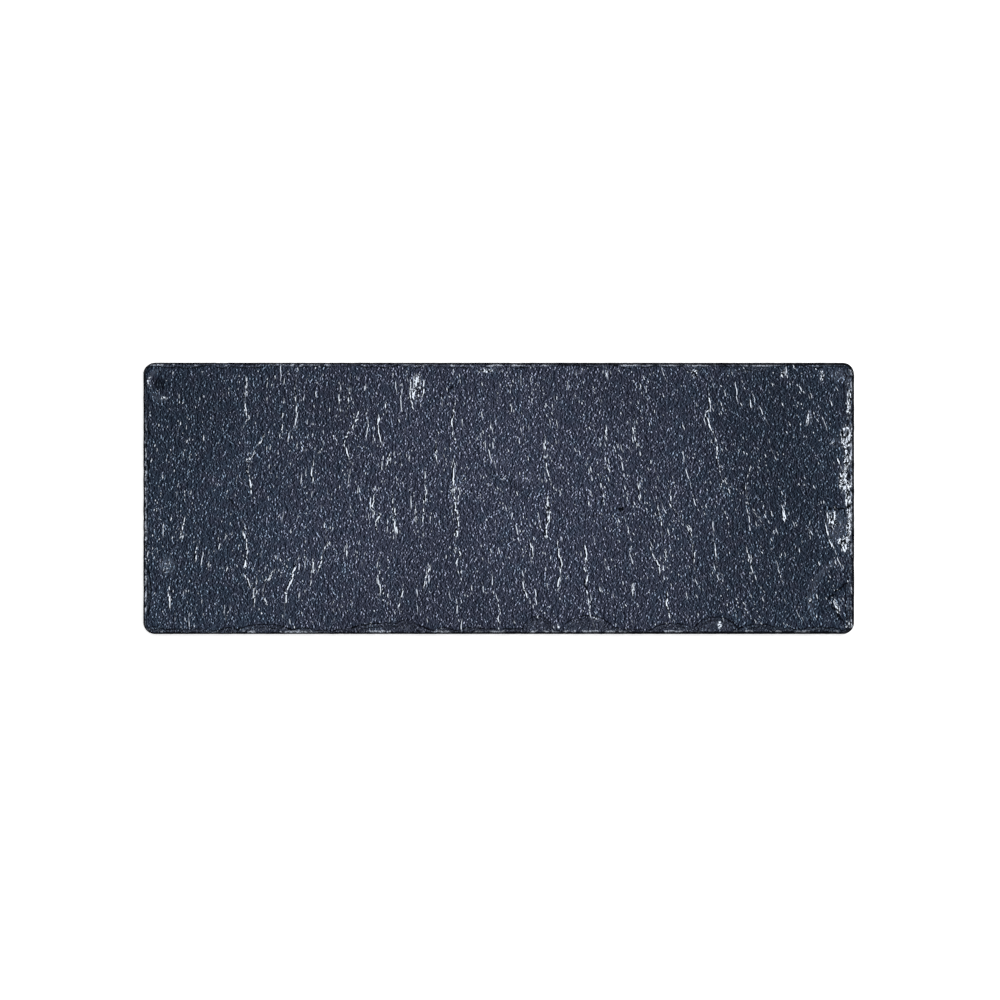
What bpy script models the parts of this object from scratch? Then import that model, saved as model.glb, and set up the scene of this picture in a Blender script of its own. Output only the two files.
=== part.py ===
"""Slate slab: one split plate of slate with a riven face and knapped edges.

Metres, +Z up. The origin is on the resting plane, under the middle of the slab. +X runs along the
slab and +Y across it. The plate is a cube sawn into a lattice, whose points are then set to the riven
faces and to the chipped edge, and thinned out where the stone is plain.
"""

import random
from typing import NamedTuple

import bmesh
import bpy
import numpy as np
from mathutils import Vector, noise

MM = 0.001

# Driving dimensions
LENGTH = 400.0 * MM
WIDTH = 152.7 * MM
THICKNESS = 6.0 * MM
CORNER_RADIUS = 6.6 * MM

# Lattice: cuts are close together in the band along the edge, where the chips are
EDGE_BAND = 11.0 * MM
EDGE_CUT = 1.1 * MM
LENGTH_CUT = 1.6 * MM
WIDTH_CUT = 2.0 * MM
SIDE_LAYERS = 4
TRIANGLES = 9600

# Riven face: the highest cleavage plane is flat, and lower ones show where it has split away
FACE_LEVEL = 0.20 * MM
FACE_SHIFT = 0.3
SWELL_HEIGHT = 0.26 * MM
SWELL_WAVE = (150.0 * MM, 85.0 * MM)
RIVEN_HEIGHT = 0.34 * MM
RIVEN_WAVE = (21.0 * MM, 66.0 * MM)
FINE_HEIGHT = 0.10 * MM
FINE_WAVE = (8.0 * MM, 30.0 * MM)
CLEAVAGE_STEP = 0.13 * MM
RISER_SHARE = 0.3
LEDGE_RAMP = 1.1 * MM
LEDGE_LIP = 0.35

# Underside: the same stone, resting on the lands of its lowest plane
UNDER_LEVEL = -0.02 * MM
UNDER_SHIFT = 37.4
LAND_RADIUS = 16.0 * MM
SNAP = 0.02 * MM

# Knapped edge
SEED = 11
ARRIS_REACH = 1.3 * MM
ARRIS_DROP = 2.2 * MM
SCAR_HALF_WIDTH = (3.5 * MM, 10.5 * MM)
SCAR_DROP = (2.4 * MM, 3.9 * MM)
SCAR_HOLLOW = 1.8
EDGE_ROUGHNESS = 0.22 * MM
EDGE_WAVE = 3.5 * MM
EDGE_SHIFT = 3.6
LOWEST_ARRIS = 1.5 * MM
UNDER_CHIP_REACH = 1.7 * MM
UNDER_CHIP_RISE = (0.5 * MM, 0.45 * MM)
UNDER_CHIP_WAVE = 7.0 * MM
SIDE_ROUGHNESS = 0.18 * MM
LAYERING = 3.0


class Ledge(NamedTuple):
    """A break between two cleavage planes, along a broken line of points in millimetres.

    The stone drops by depth on the left-hand side, going from the first point to the last (on the
    right-hand side where depth is negative), and climbs back over the reach, both in millimetres.
    """

    depth: float
    reach: float
    points: list


class Hollow(NamedTuple):
    """A dish in the face, or a swelling: its middle, half sizes along X and Y, and depth, in millimetres."""

    middle: tuple
    half_size: tuple
    depth: float


class Scar(NamedTuple):
    """A bite out of the upper edge: its middle on the outline, the edge's direction, and its size."""

    middle: tuple
    run: tuple
    half_width: float
    reach: float
    drop: float


class Side(NamedTuple):
    """One straight side: its middle, its direction, half its length, and how far its chips reach in."""

    middle: tuple
    run: tuple
    half_length: float
    reach: tuple


LEDGES = [
    # the long ledge that crosses the middle on a slant and runs on to the pit
    Ledge(-0.50, 11, [(-14, 27), (-10, 24), (1, 16), (13, 7), (26, -1), (40, -11), (57, -10), (68, -6)]),
    # the lip of the flake lost from the top edge, beside the bruise
    Ledge(0.45, 12, [(-42, 52), (-28, 60), (-18, 68), (-14, 74)]),
    # breaks across the slab, from the left end to the right end
    Ledge(-0.20, 7, [(-142, 69), (-143, 51), (-141, 45), (-144, 39)]),
    Ledge(0.26, 9, [(-131, 39), (-135, 29), (-141, 22), (-141, 15), (-139, 9), (-139, 0)]),
    Ledge(-0.35, 6, [(-154, 2), (-150, -3), (-146, -8)]),
    Ledge(0.18, 7, [(-145, -11), (-142, -21), (-141, -29), (-143, -41), (-140, -51)]),
    Ledge(0.20, 8, [(-113, 71), (-114, 62), (-114, 38)]),
    Ledge(-0.24, 8, [(-100, 27), (-104, 21), (-105, 14), (-105, 8)]),
    Ledge(0.30, 10, [(-76, 52), (-81, 43), (-87, 33), (-85, 24), (-82, 19)]),
    Ledge(0.26, 9, [(-98, -13), (-96, -26), (-101, -38), (-103, -42)]),
    Ledge(0.28, 9, [(-112, -32), (-117, -45), (-119, -53), (-121, -68)]),
    Ledge(-0.20, 7, [(-125, -39), (-131, -48), (-132, -53), (-131, -60)]),
    Ledge(0.18, 7, [(-70, 3), (-72, -6), (-67, -9), (-70, -15), (-68, -20)]),
    Ledge(-0.22, 9, [(-24, 55), (-26, 43), (-24, 32), (-22, 28)]),
    Ledge(0.26, 11, [(-25, 22), (-25, 4), (-23, -11), (-24, -26), (-22, -32), (-24, -38), (-21, -49)]),
    Ledge(-0.16, 7, [(-41, 17), (-41, 4), (-42, -13), (-43, -22)]),
    Ledge(0.18, 7, [(26, 36), (27, 17), (29, 8)]),
    Ledge(-0.30, 8, [(27, 2), (28, -11), (26, -19), (28, -24)]),
    Ledge(-0.30, 9, [(33, -23), (35, -41), (33, -52)]),
    Ledge(0.18, 7, [(48, -23), (49, -41), (50, -61)]),
    Ledge(0.18, 8, [(76, 47), (76, 40), (78, 28)]),
    Ledge(-0.22, 9, [(96, 7), (97, -4), (106, -15), (109, -26), (110, -41)]),
    Ledge(0.24, 10, [(118, 62), (119, 53), (117, 47), (122, 30), (124, 13), (126, 3)]),
    Ledge(-0.22, 9, [(142, 22), (138, 7), (139, -2), (145, -9), (150, -19)]),
    # the curved crack inside the shell-shaped spall at the lower right corner
    Ledge(0.35, 7, [(190, -55), (192, -60), (198, -70)]),
]

# Where the highest cleavage plane survives whole
LANDS = [
    Hollow((-72, -32), (18, 30), 0.55),
    Hollow((62, 28), (11, 26), 0.35),
]

HOLLOWS = [
    Hollow((69, -7), (3.2, 3.6), 0.60),
    Hollow((66, -3), (6.0, 2.4), 0.25),
    Hollow((-45, 62), (4.0, 11.0), 0.30),
    Hollow((-191, 64), (5.6, 5.6), 0.40),
    Hollow((-186, -38), (6.5, 6.5), 0.16),
    Hollow((192, -19), (5.5, 13.0), 0.40),
    Hollow((176, 45), (3.0, 6.5), 0.18),
]

# The spall at the lower right corner, with ripples like a shell's
SPALL_MIDDLE = (197 * MM, -57 * MM)
SPALL_RADIUS = 23 * MM
SPALL_DEPTH = 0.42 * MM
SPALL_RIPPLE = 0.07 * MM
SPALL_RIPPLES = 3
SPALL_RIM = 0.12

# The facet struck off the upper right corner, along a line between two points of the outline
FACET_LINE = ((186 * MM, WIDTH / 2), (LENGTH / 2, 60 * MM))
FACET_SLOPE = 0.11

# Chips that stand out, in millimetres: place along the side, half width, reach and drop
BOTTOM_CHIPS = [(-132, 17, 5.5, 2.8), (-62, 26, 6.2, 3.2), (-52, 8, 8.2, 3.4), (22, 9, 10.0, 3.0),
                (50, 15, 10.4, 3.1), (98, 14, 6.0, 3.4), (122, 13, 9.6, 3.2), (146, 13, 5.6, 3.0)]
TOP_CHIPS = [(-6, 10, 4.6, 2.6), (109, 6, 5.4, 2.8), (145, 9, 5.2, 2.6), (-156, 4, 3.2, 3.2),
             (9, 4, 3.0, 3.2)]
RIGHT_CHIPS = [(57, 8, 5.4, 3.6), (33, 10, 7.0, 3.8), (12, 12, 6.2, 3.6), (-6, 8, 5.0, 3.4),
               (-30, 9, 4.6, 3.0)]
LEFT_CHIPS = [(-52, 16, 4.4, 3.4), (5, 10, 3.6, 3.0)]

# Nicks in the outline itself: place, half width and depth, in millimetres
TOP_NICKS = [(-156, 3.2, 0.7), (9, 3.0, 0.6)]

TOP = Side((0.0, WIDTH / 2), (1.0, 0.0), LENGTH / 2, (1.6 * MM, 3.2 * MM))
BOTTOM = Side((0.0, -WIDTH / 2), (1.0, 0.0), LENGTH / 2, (1.9 * MM, 4.2 * MM))
LEFT = Side((-LENGTH / 2, 0.0), (0.0, 1.0), WIDTH / 2, (1.9 * MM, 3.5 * MM))
RIGHT = Side((LENGTH / 2, 0.0), (0.0, 1.0), WIDTH / 2, (2.8 * MM, 6.2 * MM))


def unevenness(x, y, wave, shift):
    """Natural unevenness, about -1 to 1, with its own wavelength along X and along Y."""
    return np.array([noise.noise(Vector((a / wave[0] + shift, b / wave[1] - shift, shift)))
                     for a, b in zip(x, y)])


def cleaved(height):
    """Turns slopes into treads and risers, as cleavage planes do."""
    level = height / CLEAVAGE_STEP
    tread = np.floor(level)
    riser = np.clip((level - tread - 1 + RISER_SHARE) / RISER_SHARE, 0, 1)
    return (tread + riser * riser * (3 - 2 * riser)) * CLEAVAGE_STEP


def riven(x, y, shift):
    """Height of a split face over its mean level."""
    swell = SWELL_HEIGHT * unevenness(x, y, SWELL_WAVE, shift)
    split = RIVEN_HEIGHT * unevenness(x, y, RIVEN_WAVE, shift + 5)
    split += FINE_HEIGHT * unevenness(x, y, FINE_WAVE, shift + 9)
    return swell + cleaved(split)


def ledge_rise(x, y, ledge):
    """Height that one ledge adds to the face: a lip on its high side, a drop on its low side."""
    points = np.array(ledge.points) * MM
    lengths = np.hypot(*np.diff(points, axis=0).T)
    nearest = np.full(x.shape, np.inf)
    side = np.zeros(x.shape)
    walked = np.zeros(x.shape)
    before = 0.0
    for start, end, length in zip(points, points[1:], lengths):
        run = (end - start) / length
        step = np.clip((x - start[0]) * run[0] + (y - start[1]) * run[1], 0, length)
        off_x = x - start[0] - step * run[0]
        off_y = y - start[1] - step * run[1]
        gap = np.hypot(off_x, off_y)
        closer = gap < nearest
        nearest[closer] = gap[closer]
        side[closer] = (run[0] * off_y - run[1] * off_x)[closer]
        walked[closer] = (before + step[closer]) / lengths.sum()
        before += length
    taper = np.sqrt(np.sin(np.pi * np.clip(walked, 0, 1)))
    fade = np.exp(-nearest / (ledge.reach * MM))
    low_side = 0.5 + 0.5 * np.tanh(side / LEDGE_RAMP)
    return -ledge.depth * MM * taper * fade * (low_side - LEDGE_LIP)


def hollow_drop(x, y, hollow):
    """Depth of one dish, with a soft rim."""
    far_x = (x - hollow.middle[0] * MM) / (hollow.half_size[0] * MM)
    far_y = (y - hollow.middle[1] * MM) / (hollow.half_size[1] * MM)
    return hollow.depth * MM * np.clip(1 - far_x ** 2 - far_y ** 2, 0, 1)


def spall_drop(x, y):
    """Depth of the shell-shaped spall, with a crisp rim and ripples inside it."""
    far = np.hypot(x - SPALL_MIDDLE[0], y - SPALL_MIDDLE[1]) / SPALL_RADIUS
    inside = np.clip((1 - far) / SPALL_RIM, 0, 1)
    ripples = SPALL_RIPPLE * np.cos(2 * np.pi * SPALL_RIPPLES * far)
    return inside * (SPALL_DEPTH + ripples)


def facet_drop(x, y):
    """Depth of the plane struck off the upper right corner."""
    start, end = (np.array(point) for point in FACET_LINE)
    run = (end - start) / np.hypot(*(end - start))
    beyond = (x - start[0]) * -run[1] + (y - start[1]) * run[0]
    return FACET_SLOPE * np.clip(beyond, 0, None)


def chips_of(side, listed, chance):
    """Bites along one side: small ones all the way, and the listed ones that stand out.

    A place in a list counts along the side's direction from its middle.
    """
    place = -side.half_length
    scars = []
    while place < side.half_length:
        half_width = chance.uniform(*SCAR_HALF_WIDTH)
        middle = tuple(m + r * place for m, r in zip(side.middle, side.run))
        scars.append(Scar(middle, side.run, half_width, chance.uniform(*side.reach),
                          chance.uniform(*SCAR_DROP)))
        place += half_width * chance.uniform(0.8, 1.3)
    for place, half_width, reach, drop in listed:
        middle = tuple(m + r * place * MM for m, r in zip(side.middle, side.run))
        scars.append(Scar(middle, side.run, half_width * MM, reach * MM, drop * MM))
    return scars


def knapped_scars():
    """Every bite out of the upper edge."""
    chance = random.Random(SEED)
    return (chips_of(TOP, TOP_CHIPS, chance) + chips_of(BOTTOM, BOTTOM_CHIPS, chance)
            + chips_of(LEFT, LEFT_CHIPS, chance) + chips_of(RIGHT, RIGHT_CHIPS, chance))


def scar_drop(x, y, scar):
    """Depth of one bite: steep at its inner rim and flatter towards the outline."""
    off_x = x - scar.middle[0]
    off_y = y - scar.middle[1]
    along = off_x * scar.run[0] + off_y * scar.run[1]
    across = off_x * scar.run[1] - off_y * scar.run[0]
    far = np.hypot(along / scar.half_width, across / scar.reach)
    return scar.drop * np.clip(1 - far ** SCAR_HOLLOW, 0, 1)


def inside_outline(x, y):
    """Distance in from the outline, a rectangle with rounded corners, and the way out to it."""
    past_x = np.abs(x) - (LENGTH / 2 - CORNER_RADIUS)
    past_y = np.abs(y) - (WIDTH / 2 - CORNER_RADIUS)
    corner = (past_x > 0) & (past_y > 0)
    reach = np.hypot(past_x, past_y)
    depth = CORNER_RADIUS - np.where(corner, reach, np.maximum(past_x, past_y))
    safe = np.where(reach > 0, reach, 1)
    out_x = np.where(corner, past_x / safe, past_x >= past_y) * np.sign(x)
    out_y = np.where(corner, past_y / safe, past_x < past_y) * np.sign(y)
    return depth, out_x, out_y


def top_height(x, y):
    """Height of the upper face, from its lands to the chipped arris."""
    height = THICKNESS - FACE_LEVEL + riven(x, y, FACE_SHIFT)
    height += sum(ledge_rise(x, y, ledge) for ledge in LEDGES)
    height += sum(hollow_drop(x, y, land) for land in LANDS)
    height = np.minimum(height, THICKNESS)
    height -= sum(hollow_drop(x, y, hollow) for hollow in HOLLOWS)
    height -= spall_drop(x, y) + facet_drop(x, y)
    depth, _, _ = inside_outline(x, y)
    rough = EDGE_ROUGHNESS * unevenness(x, y, (EDGE_WAVE, EDGE_WAVE), EDGE_SHIFT)
    drop = ARRIS_DROP * np.clip(1 - depth / ARRIS_REACH, 0, 1)
    for scar in knapped_scars():
        drop = np.maximum(drop, scar_drop(x, y, scar))
    broken = np.clip(drop / ARRIS_DROP, 0, 1)
    return np.maximum(height - drop + rough * broken, LOWEST_ARRIS)


def under_height(x, y):
    """Height of the underside: flat lands on the resting plane, and hollows between them."""
    height = np.maximum(riven(x, y, UNDER_SHIFT) - UNDER_LEVEL, 0)
    height *= np.clip(np.hypot(x, y) / LAND_RADIUS - 1, 0, 1)
    depth, _, _ = inside_outline(x, y)
    least, more = UNDER_CHIP_RISE
    chips = least + more * unevenness(x, y, (UNDER_CHIP_WAVE, UNDER_CHIP_WAVE), UNDER_SHIFT)
    return height + chips * np.clip(1 - depth / UNDER_CHIP_REACH, 0, 1)


def nick_depth(x, y):
    """How far the nicks cut into the outline of the upper side."""
    depth = np.zeros(x.shape)
    for place, half_width, deepest in TOP_NICKS:
        far = (x - place * MM) / (half_width * MM)
        depth += deepest * MM * np.clip(1 - far ** 2, 0, 1) * (y > 0)
    return depth


def cuts(size, coarse):
    """Places of the lattice's cuts across one size, measured from its middle."""
    ends = np.arange(round(EDGE_BAND / EDGE_CUT)) * EDGE_CUT
    spaces = round((size - 2 * EDGE_BAND) / coarse)
    middle = np.linspace(EDGE_BAND, size - EDGE_BAND, spaces + 1)
    return np.concatenate([ends, middle, size - ends[::-1]]) - size / 2


def sawn_lattice(spaces):
    """A unit cube, cut evenly into the given number of spaces along X, Y and Z."""
    mesh = bmesh.new()
    bmesh.ops.create_cube(mesh, size=1.0)
    for axis, count in enumerate(spaces):
        edges = [edge for edge in mesh.edges
                 if abs(edge.verts[0].co[axis] - edge.verts[1].co[axis]) > 0.5]
        bmesh.ops.subdivide_edges(mesh, edges=edges, cuts=count - 1, use_grid_fill=True)
    return mesh


def round_corners(x, y):
    """Pulls the square corners of the lattice in to quarter circles."""
    past_x = np.clip(np.abs(x) - (LENGTH / 2 - CORNER_RADIUS), 0, None)
    past_y = np.clip(np.abs(y) - (WIDTH / 2 - CORNER_RADIUS), 0, None)
    square = 2 * CORNER_RADIUS ** 2
    pull_x = past_x * (1 - np.sqrt(1 - past_y ** 2 / square))
    pull_y = past_y * (1 - np.sqrt(1 - past_x ** 2 / square))
    return x - pull_x * np.sign(x), y - pull_y * np.sign(y)


def set_stone(mesh, x_cuts, y_cuts):
    """Moves every point of the lattice to its place on the stone."""
    points = np.array([vert.co for vert in mesh.verts])
    column = np.rint((points[:, 0] + 0.5) * (len(x_cuts) - 1)).astype(int)
    row = np.rint((points[:, 1] + 0.5) * (len(y_cuts) - 1)).astype(int)
    layer = points[:, 2] + 0.5
    x, y = round_corners(x_cuts[column], y_cuts[row])
    low = under_height(x, y)
    height = low + layer * (top_height(x, y) - low)
    depth, out_x, out_y = inside_outline(x, y)
    on_side = depth < EDGE_CUT / 2
    rough = np.array([noise.noise(Vector(point) / EDGE_WAVE) for point in zip(x, y, LAYERING * height)])
    inset = on_side * (SIDE_ROUGHNESS * np.clip(rough, 0, None) + nick_depth(x, y) * layer)
    for vert, place in zip(mesh.verts, zip(x - out_x * inset, y - out_y * inset, height)):
        vert.co = place


def thinned(obj):
    """Gives the object its stone with fewer triangles, kept where the relief needs them."""
    obj.data.calc_loop_triangles()
    thin = obj.modifiers.new("thin", "DECIMATE")
    thin.ratio = TRIANGLES / len(obj.data.loop_triangles)
    evaluated = obj.evaluated_get(bpy.context.evaluated_depsgraph_get())
    stone = bpy.data.meshes.new_from_object(evaluated)
    obj.modifiers.remove(thin)
    obj.data = stone
    for vert in stone.vertices:
        vert.co.x = min(max(vert.co.x, -LENGTH / 2), LENGTH / 2)
        vert.co.y = min(max(vert.co.y, -WIDTH / 2), WIDTH / 2)
        if vert.co.z < SNAP:
            vert.co.z = 0.0
        elif vert.co.z > THICKNESS - SNAP:
            vert.co.z = THICKNESS


def slate_material():
    """Dark blue-grey slate, dull, with a faint sheen along the grain."""
    material = bpy.data.materials.new("slate")
    material.use_nodes = True
    shader = material.node_tree.nodes["Principled BSDF"]
    shader.inputs["Base Color"].default_value = (0.045, 0.054, 0.078, 1.0)
    shader.inputs["Roughness"].default_value = 0.72
    shader.inputs["Metallic"].default_value = 0.0
    return material


def make_slab(collection):
    """Makes the slab, one closed solid, in the given collection."""
    x_cuts = cuts(LENGTH, LENGTH_CUT)
    y_cuts = cuts(WIDTH, WIDTH_CUT)
    lattice = sawn_lattice((len(x_cuts) - 1, len(y_cuts) - 1, SIDE_LAYERS))
    set_stone(lattice, x_cuts, y_cuts)
    mesh = bpy.data.meshes.new("slate_slab")
    lattice.to_mesh(mesh)
    lattice.free()
    slab = bpy.data.objects.new("slate_slab", mesh)
    collection.objects.link(slab)
    thinned(slab)
    slab.data.name = "slate_slab"
    slab.data.materials.append(slate_material())
    return slab


def main():
    """Clears the scene's objects and makes the slab."""
    for obj in list(bpy.data.objects):
        bpy.data.objects.remove(obj)
    collection = bpy.data.collections.new("slate_slab")
    bpy.context.scene.collection.children.link(collection)
    make_slab(collection)


main()
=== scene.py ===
"""The look of a riven slate slab: its split face, its knapped edge and its underside.

The slab is one stone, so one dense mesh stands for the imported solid. It is sawn from the solid's own
box, follows the same cleavage planes, ledges and chips, and adds the grain that the solid leaves out.
Lengths are in metres unless a name or a docstring says millimetres.
"""

import logging
import math
import random
from dataclasses import dataclass, field
from enum import Enum
from typing import NamedTuple

import bmesh
import bpy
import numpy as np
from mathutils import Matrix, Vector, noise


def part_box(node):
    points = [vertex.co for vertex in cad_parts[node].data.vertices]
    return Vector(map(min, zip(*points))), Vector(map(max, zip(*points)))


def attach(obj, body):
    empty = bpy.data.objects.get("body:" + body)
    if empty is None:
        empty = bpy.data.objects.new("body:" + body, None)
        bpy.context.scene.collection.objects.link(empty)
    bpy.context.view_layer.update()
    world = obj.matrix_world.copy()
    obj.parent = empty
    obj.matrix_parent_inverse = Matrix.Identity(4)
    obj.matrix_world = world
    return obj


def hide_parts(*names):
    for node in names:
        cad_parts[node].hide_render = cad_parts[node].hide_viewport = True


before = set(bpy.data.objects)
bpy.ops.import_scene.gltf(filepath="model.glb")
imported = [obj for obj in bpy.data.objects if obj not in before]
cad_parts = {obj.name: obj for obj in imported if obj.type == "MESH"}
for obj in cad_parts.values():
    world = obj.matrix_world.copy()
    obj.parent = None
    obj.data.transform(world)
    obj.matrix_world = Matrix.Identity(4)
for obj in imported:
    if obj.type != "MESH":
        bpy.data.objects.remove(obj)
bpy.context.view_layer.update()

log = logging.getLogger("slate_slab")

MM = 0.001
NODE = "slate_slab"

# Near the slab's ends, in metres from its middle
END = 0.19
# How far the grain leans over at the left end and at the right end
GRAIN_LEAN = (-0.10, 0.34)
# Faces whose normal's height is under this look down
LOOKS_DOWN = -0.5

Colour = tuple[float, float, float]
Point = tuple[float, float]
Array = np.ndarray
Socket = bpy.types.NodeSocket


class Trace(Enum):
    """Values that the mesh carries at its points for the stone's finish to read."""

    GAP = "streak_gap"
    STREAK = "streak_strength"
    PALE = "pale_mark"
    DARK = "dark_mark"
    BROKEN = "broken_edge"
    RIM = "chip_rim"
    OUTER = "outer_rim"
    TONE = "tone_and_sheen"


class Streak(NamedTuple):
    """A fractured line where the stone has split, with points in millimetres.

    white is how pale the fracture is, pale broken stone with a painted highlight, or below zero how
    dark the painted shadow along it is. The stone drops by step millimetres on the left-hand side,
    going from the first point to the last, or on the right-hand side where step is negative, and climbs
    back over reach millimetres.
    """

    white: float
    step: float
    reach: float
    points: list[Point]


class Patch(NamedTuple):
    """An oval mark, swelling or dish: its middle and half sizes in millimetres, and its amount."""

    middle: Point
    half_size: Point
    amount: float


class Stroke(NamedTuple):
    """A drawn-out mark: its amount, its half width in millimetres, and the points it follows."""

    amount: float
    half_width: float
    points: list[Point]


class Scar(NamedTuple):
    """A bite out of the upper edge: its middle, the edge's direction, and its size in metres."""

    middle: Point
    run: Point
    half_width: float
    reach: float
    drop: float


class Side(NamedTuple):
    """A straight side: its middle, its direction, half its length, and how far its chips reach in."""

    middle: Point
    run: Point
    half_length: float
    reach: Point


# The breaks that the solid has too
LEDGES = [
    Streak(0.0, -0.50, 11, [(-14, 27), (-10, 24), (1, 16), (13, 7), (26, -1), (40, -11), (57, -10),
                            (68, -6)]),
    Streak(0.0, 0.45, 12, [(-42, 52), (-28, 60), (-18, 68), (-14, 74)]),
    Streak(0.45, -0.20, 7, [(-142, 69), (-142.5, 51), (-141, 45), (-144, 39)]),
    Streak(0.80, 0.26, 9, [(-130.6, 38.5), (-135, 29), (-141, 21.6), (-141.5, 15), (-139, 9),
                           (-139, 0)]),
    Streak(0.30, -0.35, 6, [(-154, 2), (-150, -3), (-146, -8)]),
    Streak(0.75, 0.18, 7, [(-144.7, -11), (-142.3, -21), (-141.5, -29), (-142.8, -41), (-140, -51)]),
    Streak(0.30, 0.20, 8, [(-112.8, 70.5), (-114, 62), (-113.7, 38.5)]),
    Streak(0.80, -0.24, 8, [(-99.6, 27), (-104, 20.7), (-105.2, 14), (-104.7, 8.5)]),
    Streak(1.00, 0.30, 10, [(-76.5, 51.7), (-80.8, 43), (-87, 32.8), (-85.2, 24.4), (-81.8, 18.8)]),
    Streak(0.95, 0.26, 9, [(-97.7, -13), (-96.5, -26), (-100.6, -37.6), (-102.6, -41.5)]),
    Streak(0.90, 0.28, 9, [(-111.8, -32), (-116.5, -45), (-119.3, -52.6), (-120.8, -67.6)]),
    Streak(0.75, -0.20, 7, [(-125, -39), (-131.5, -48), (-132.5, -52.6), (-130.6, -60)]),
    Streak(0.60, 0.18, 7, [(-69.6, 2.8), (-72.4, -5.6), (-66.8, -9.4), (-69.6, -15), (-67.7, -19.7)]),
    Streak(0.70, -0.22, 9, [(-24.5, 54.5), (-26.4, 43), (-24.5, 32), (-22.6, 28)]),
    Streak(0.85, 0.26, 11, [(-25.5, 22.5), (-25.5, 4), (-23.2, -11), (-24.5, -26), (-21.7, -32),
                            (-23.5, -37.6), (-20.7, -49)]),
    Streak(0.50, -0.16, 7, [(-41.4, 17), (-41.4, 4), (-42.4, -13), (-42.7, -22.5)]),
    Streak(0.50, 0.18, 7, [(25.6, 35.7), (26.6, 17), (29.4, 7.5)]),
    Streak(1.00, -0.30, 8, [(27.5, 2), (28, -11), (25.6, -19), (28.5, -24.4)]),
    Streak(0.95, -0.30, 9, [(33, -23.5), (35, -41), (33, -52)]),
    Streak(0.70, 0.18, 7, [(48.2, -23.5), (49, -41), (50, -61)]),
    Streak(0.60, 0.18, 8, [(76.3, 47), (75.8, 40.4), (78.2, 28)]),
    Streak(0.60, -0.22, 9, [(96, 6.6), (97, -4), (106.4, -15), (109.2, -26), (110, -41)]),
    Streak(0.75, 0.24, 10, [(117.6, 62), (118.6, 52.6), (116.7, 47), (122.4, 30), (123.8, 13),
                            (126.5, 2.8)]),
    Streak(0.40, -0.22, 9, [(142, 22.5), (138.3, 6.6), (139.3, -2), (145, -9.4), (150.5, -18.8)]),
    Streak(0.0, 0.35, 7, [(190, -55), (192, -60), (198, -70)]),
]

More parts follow.
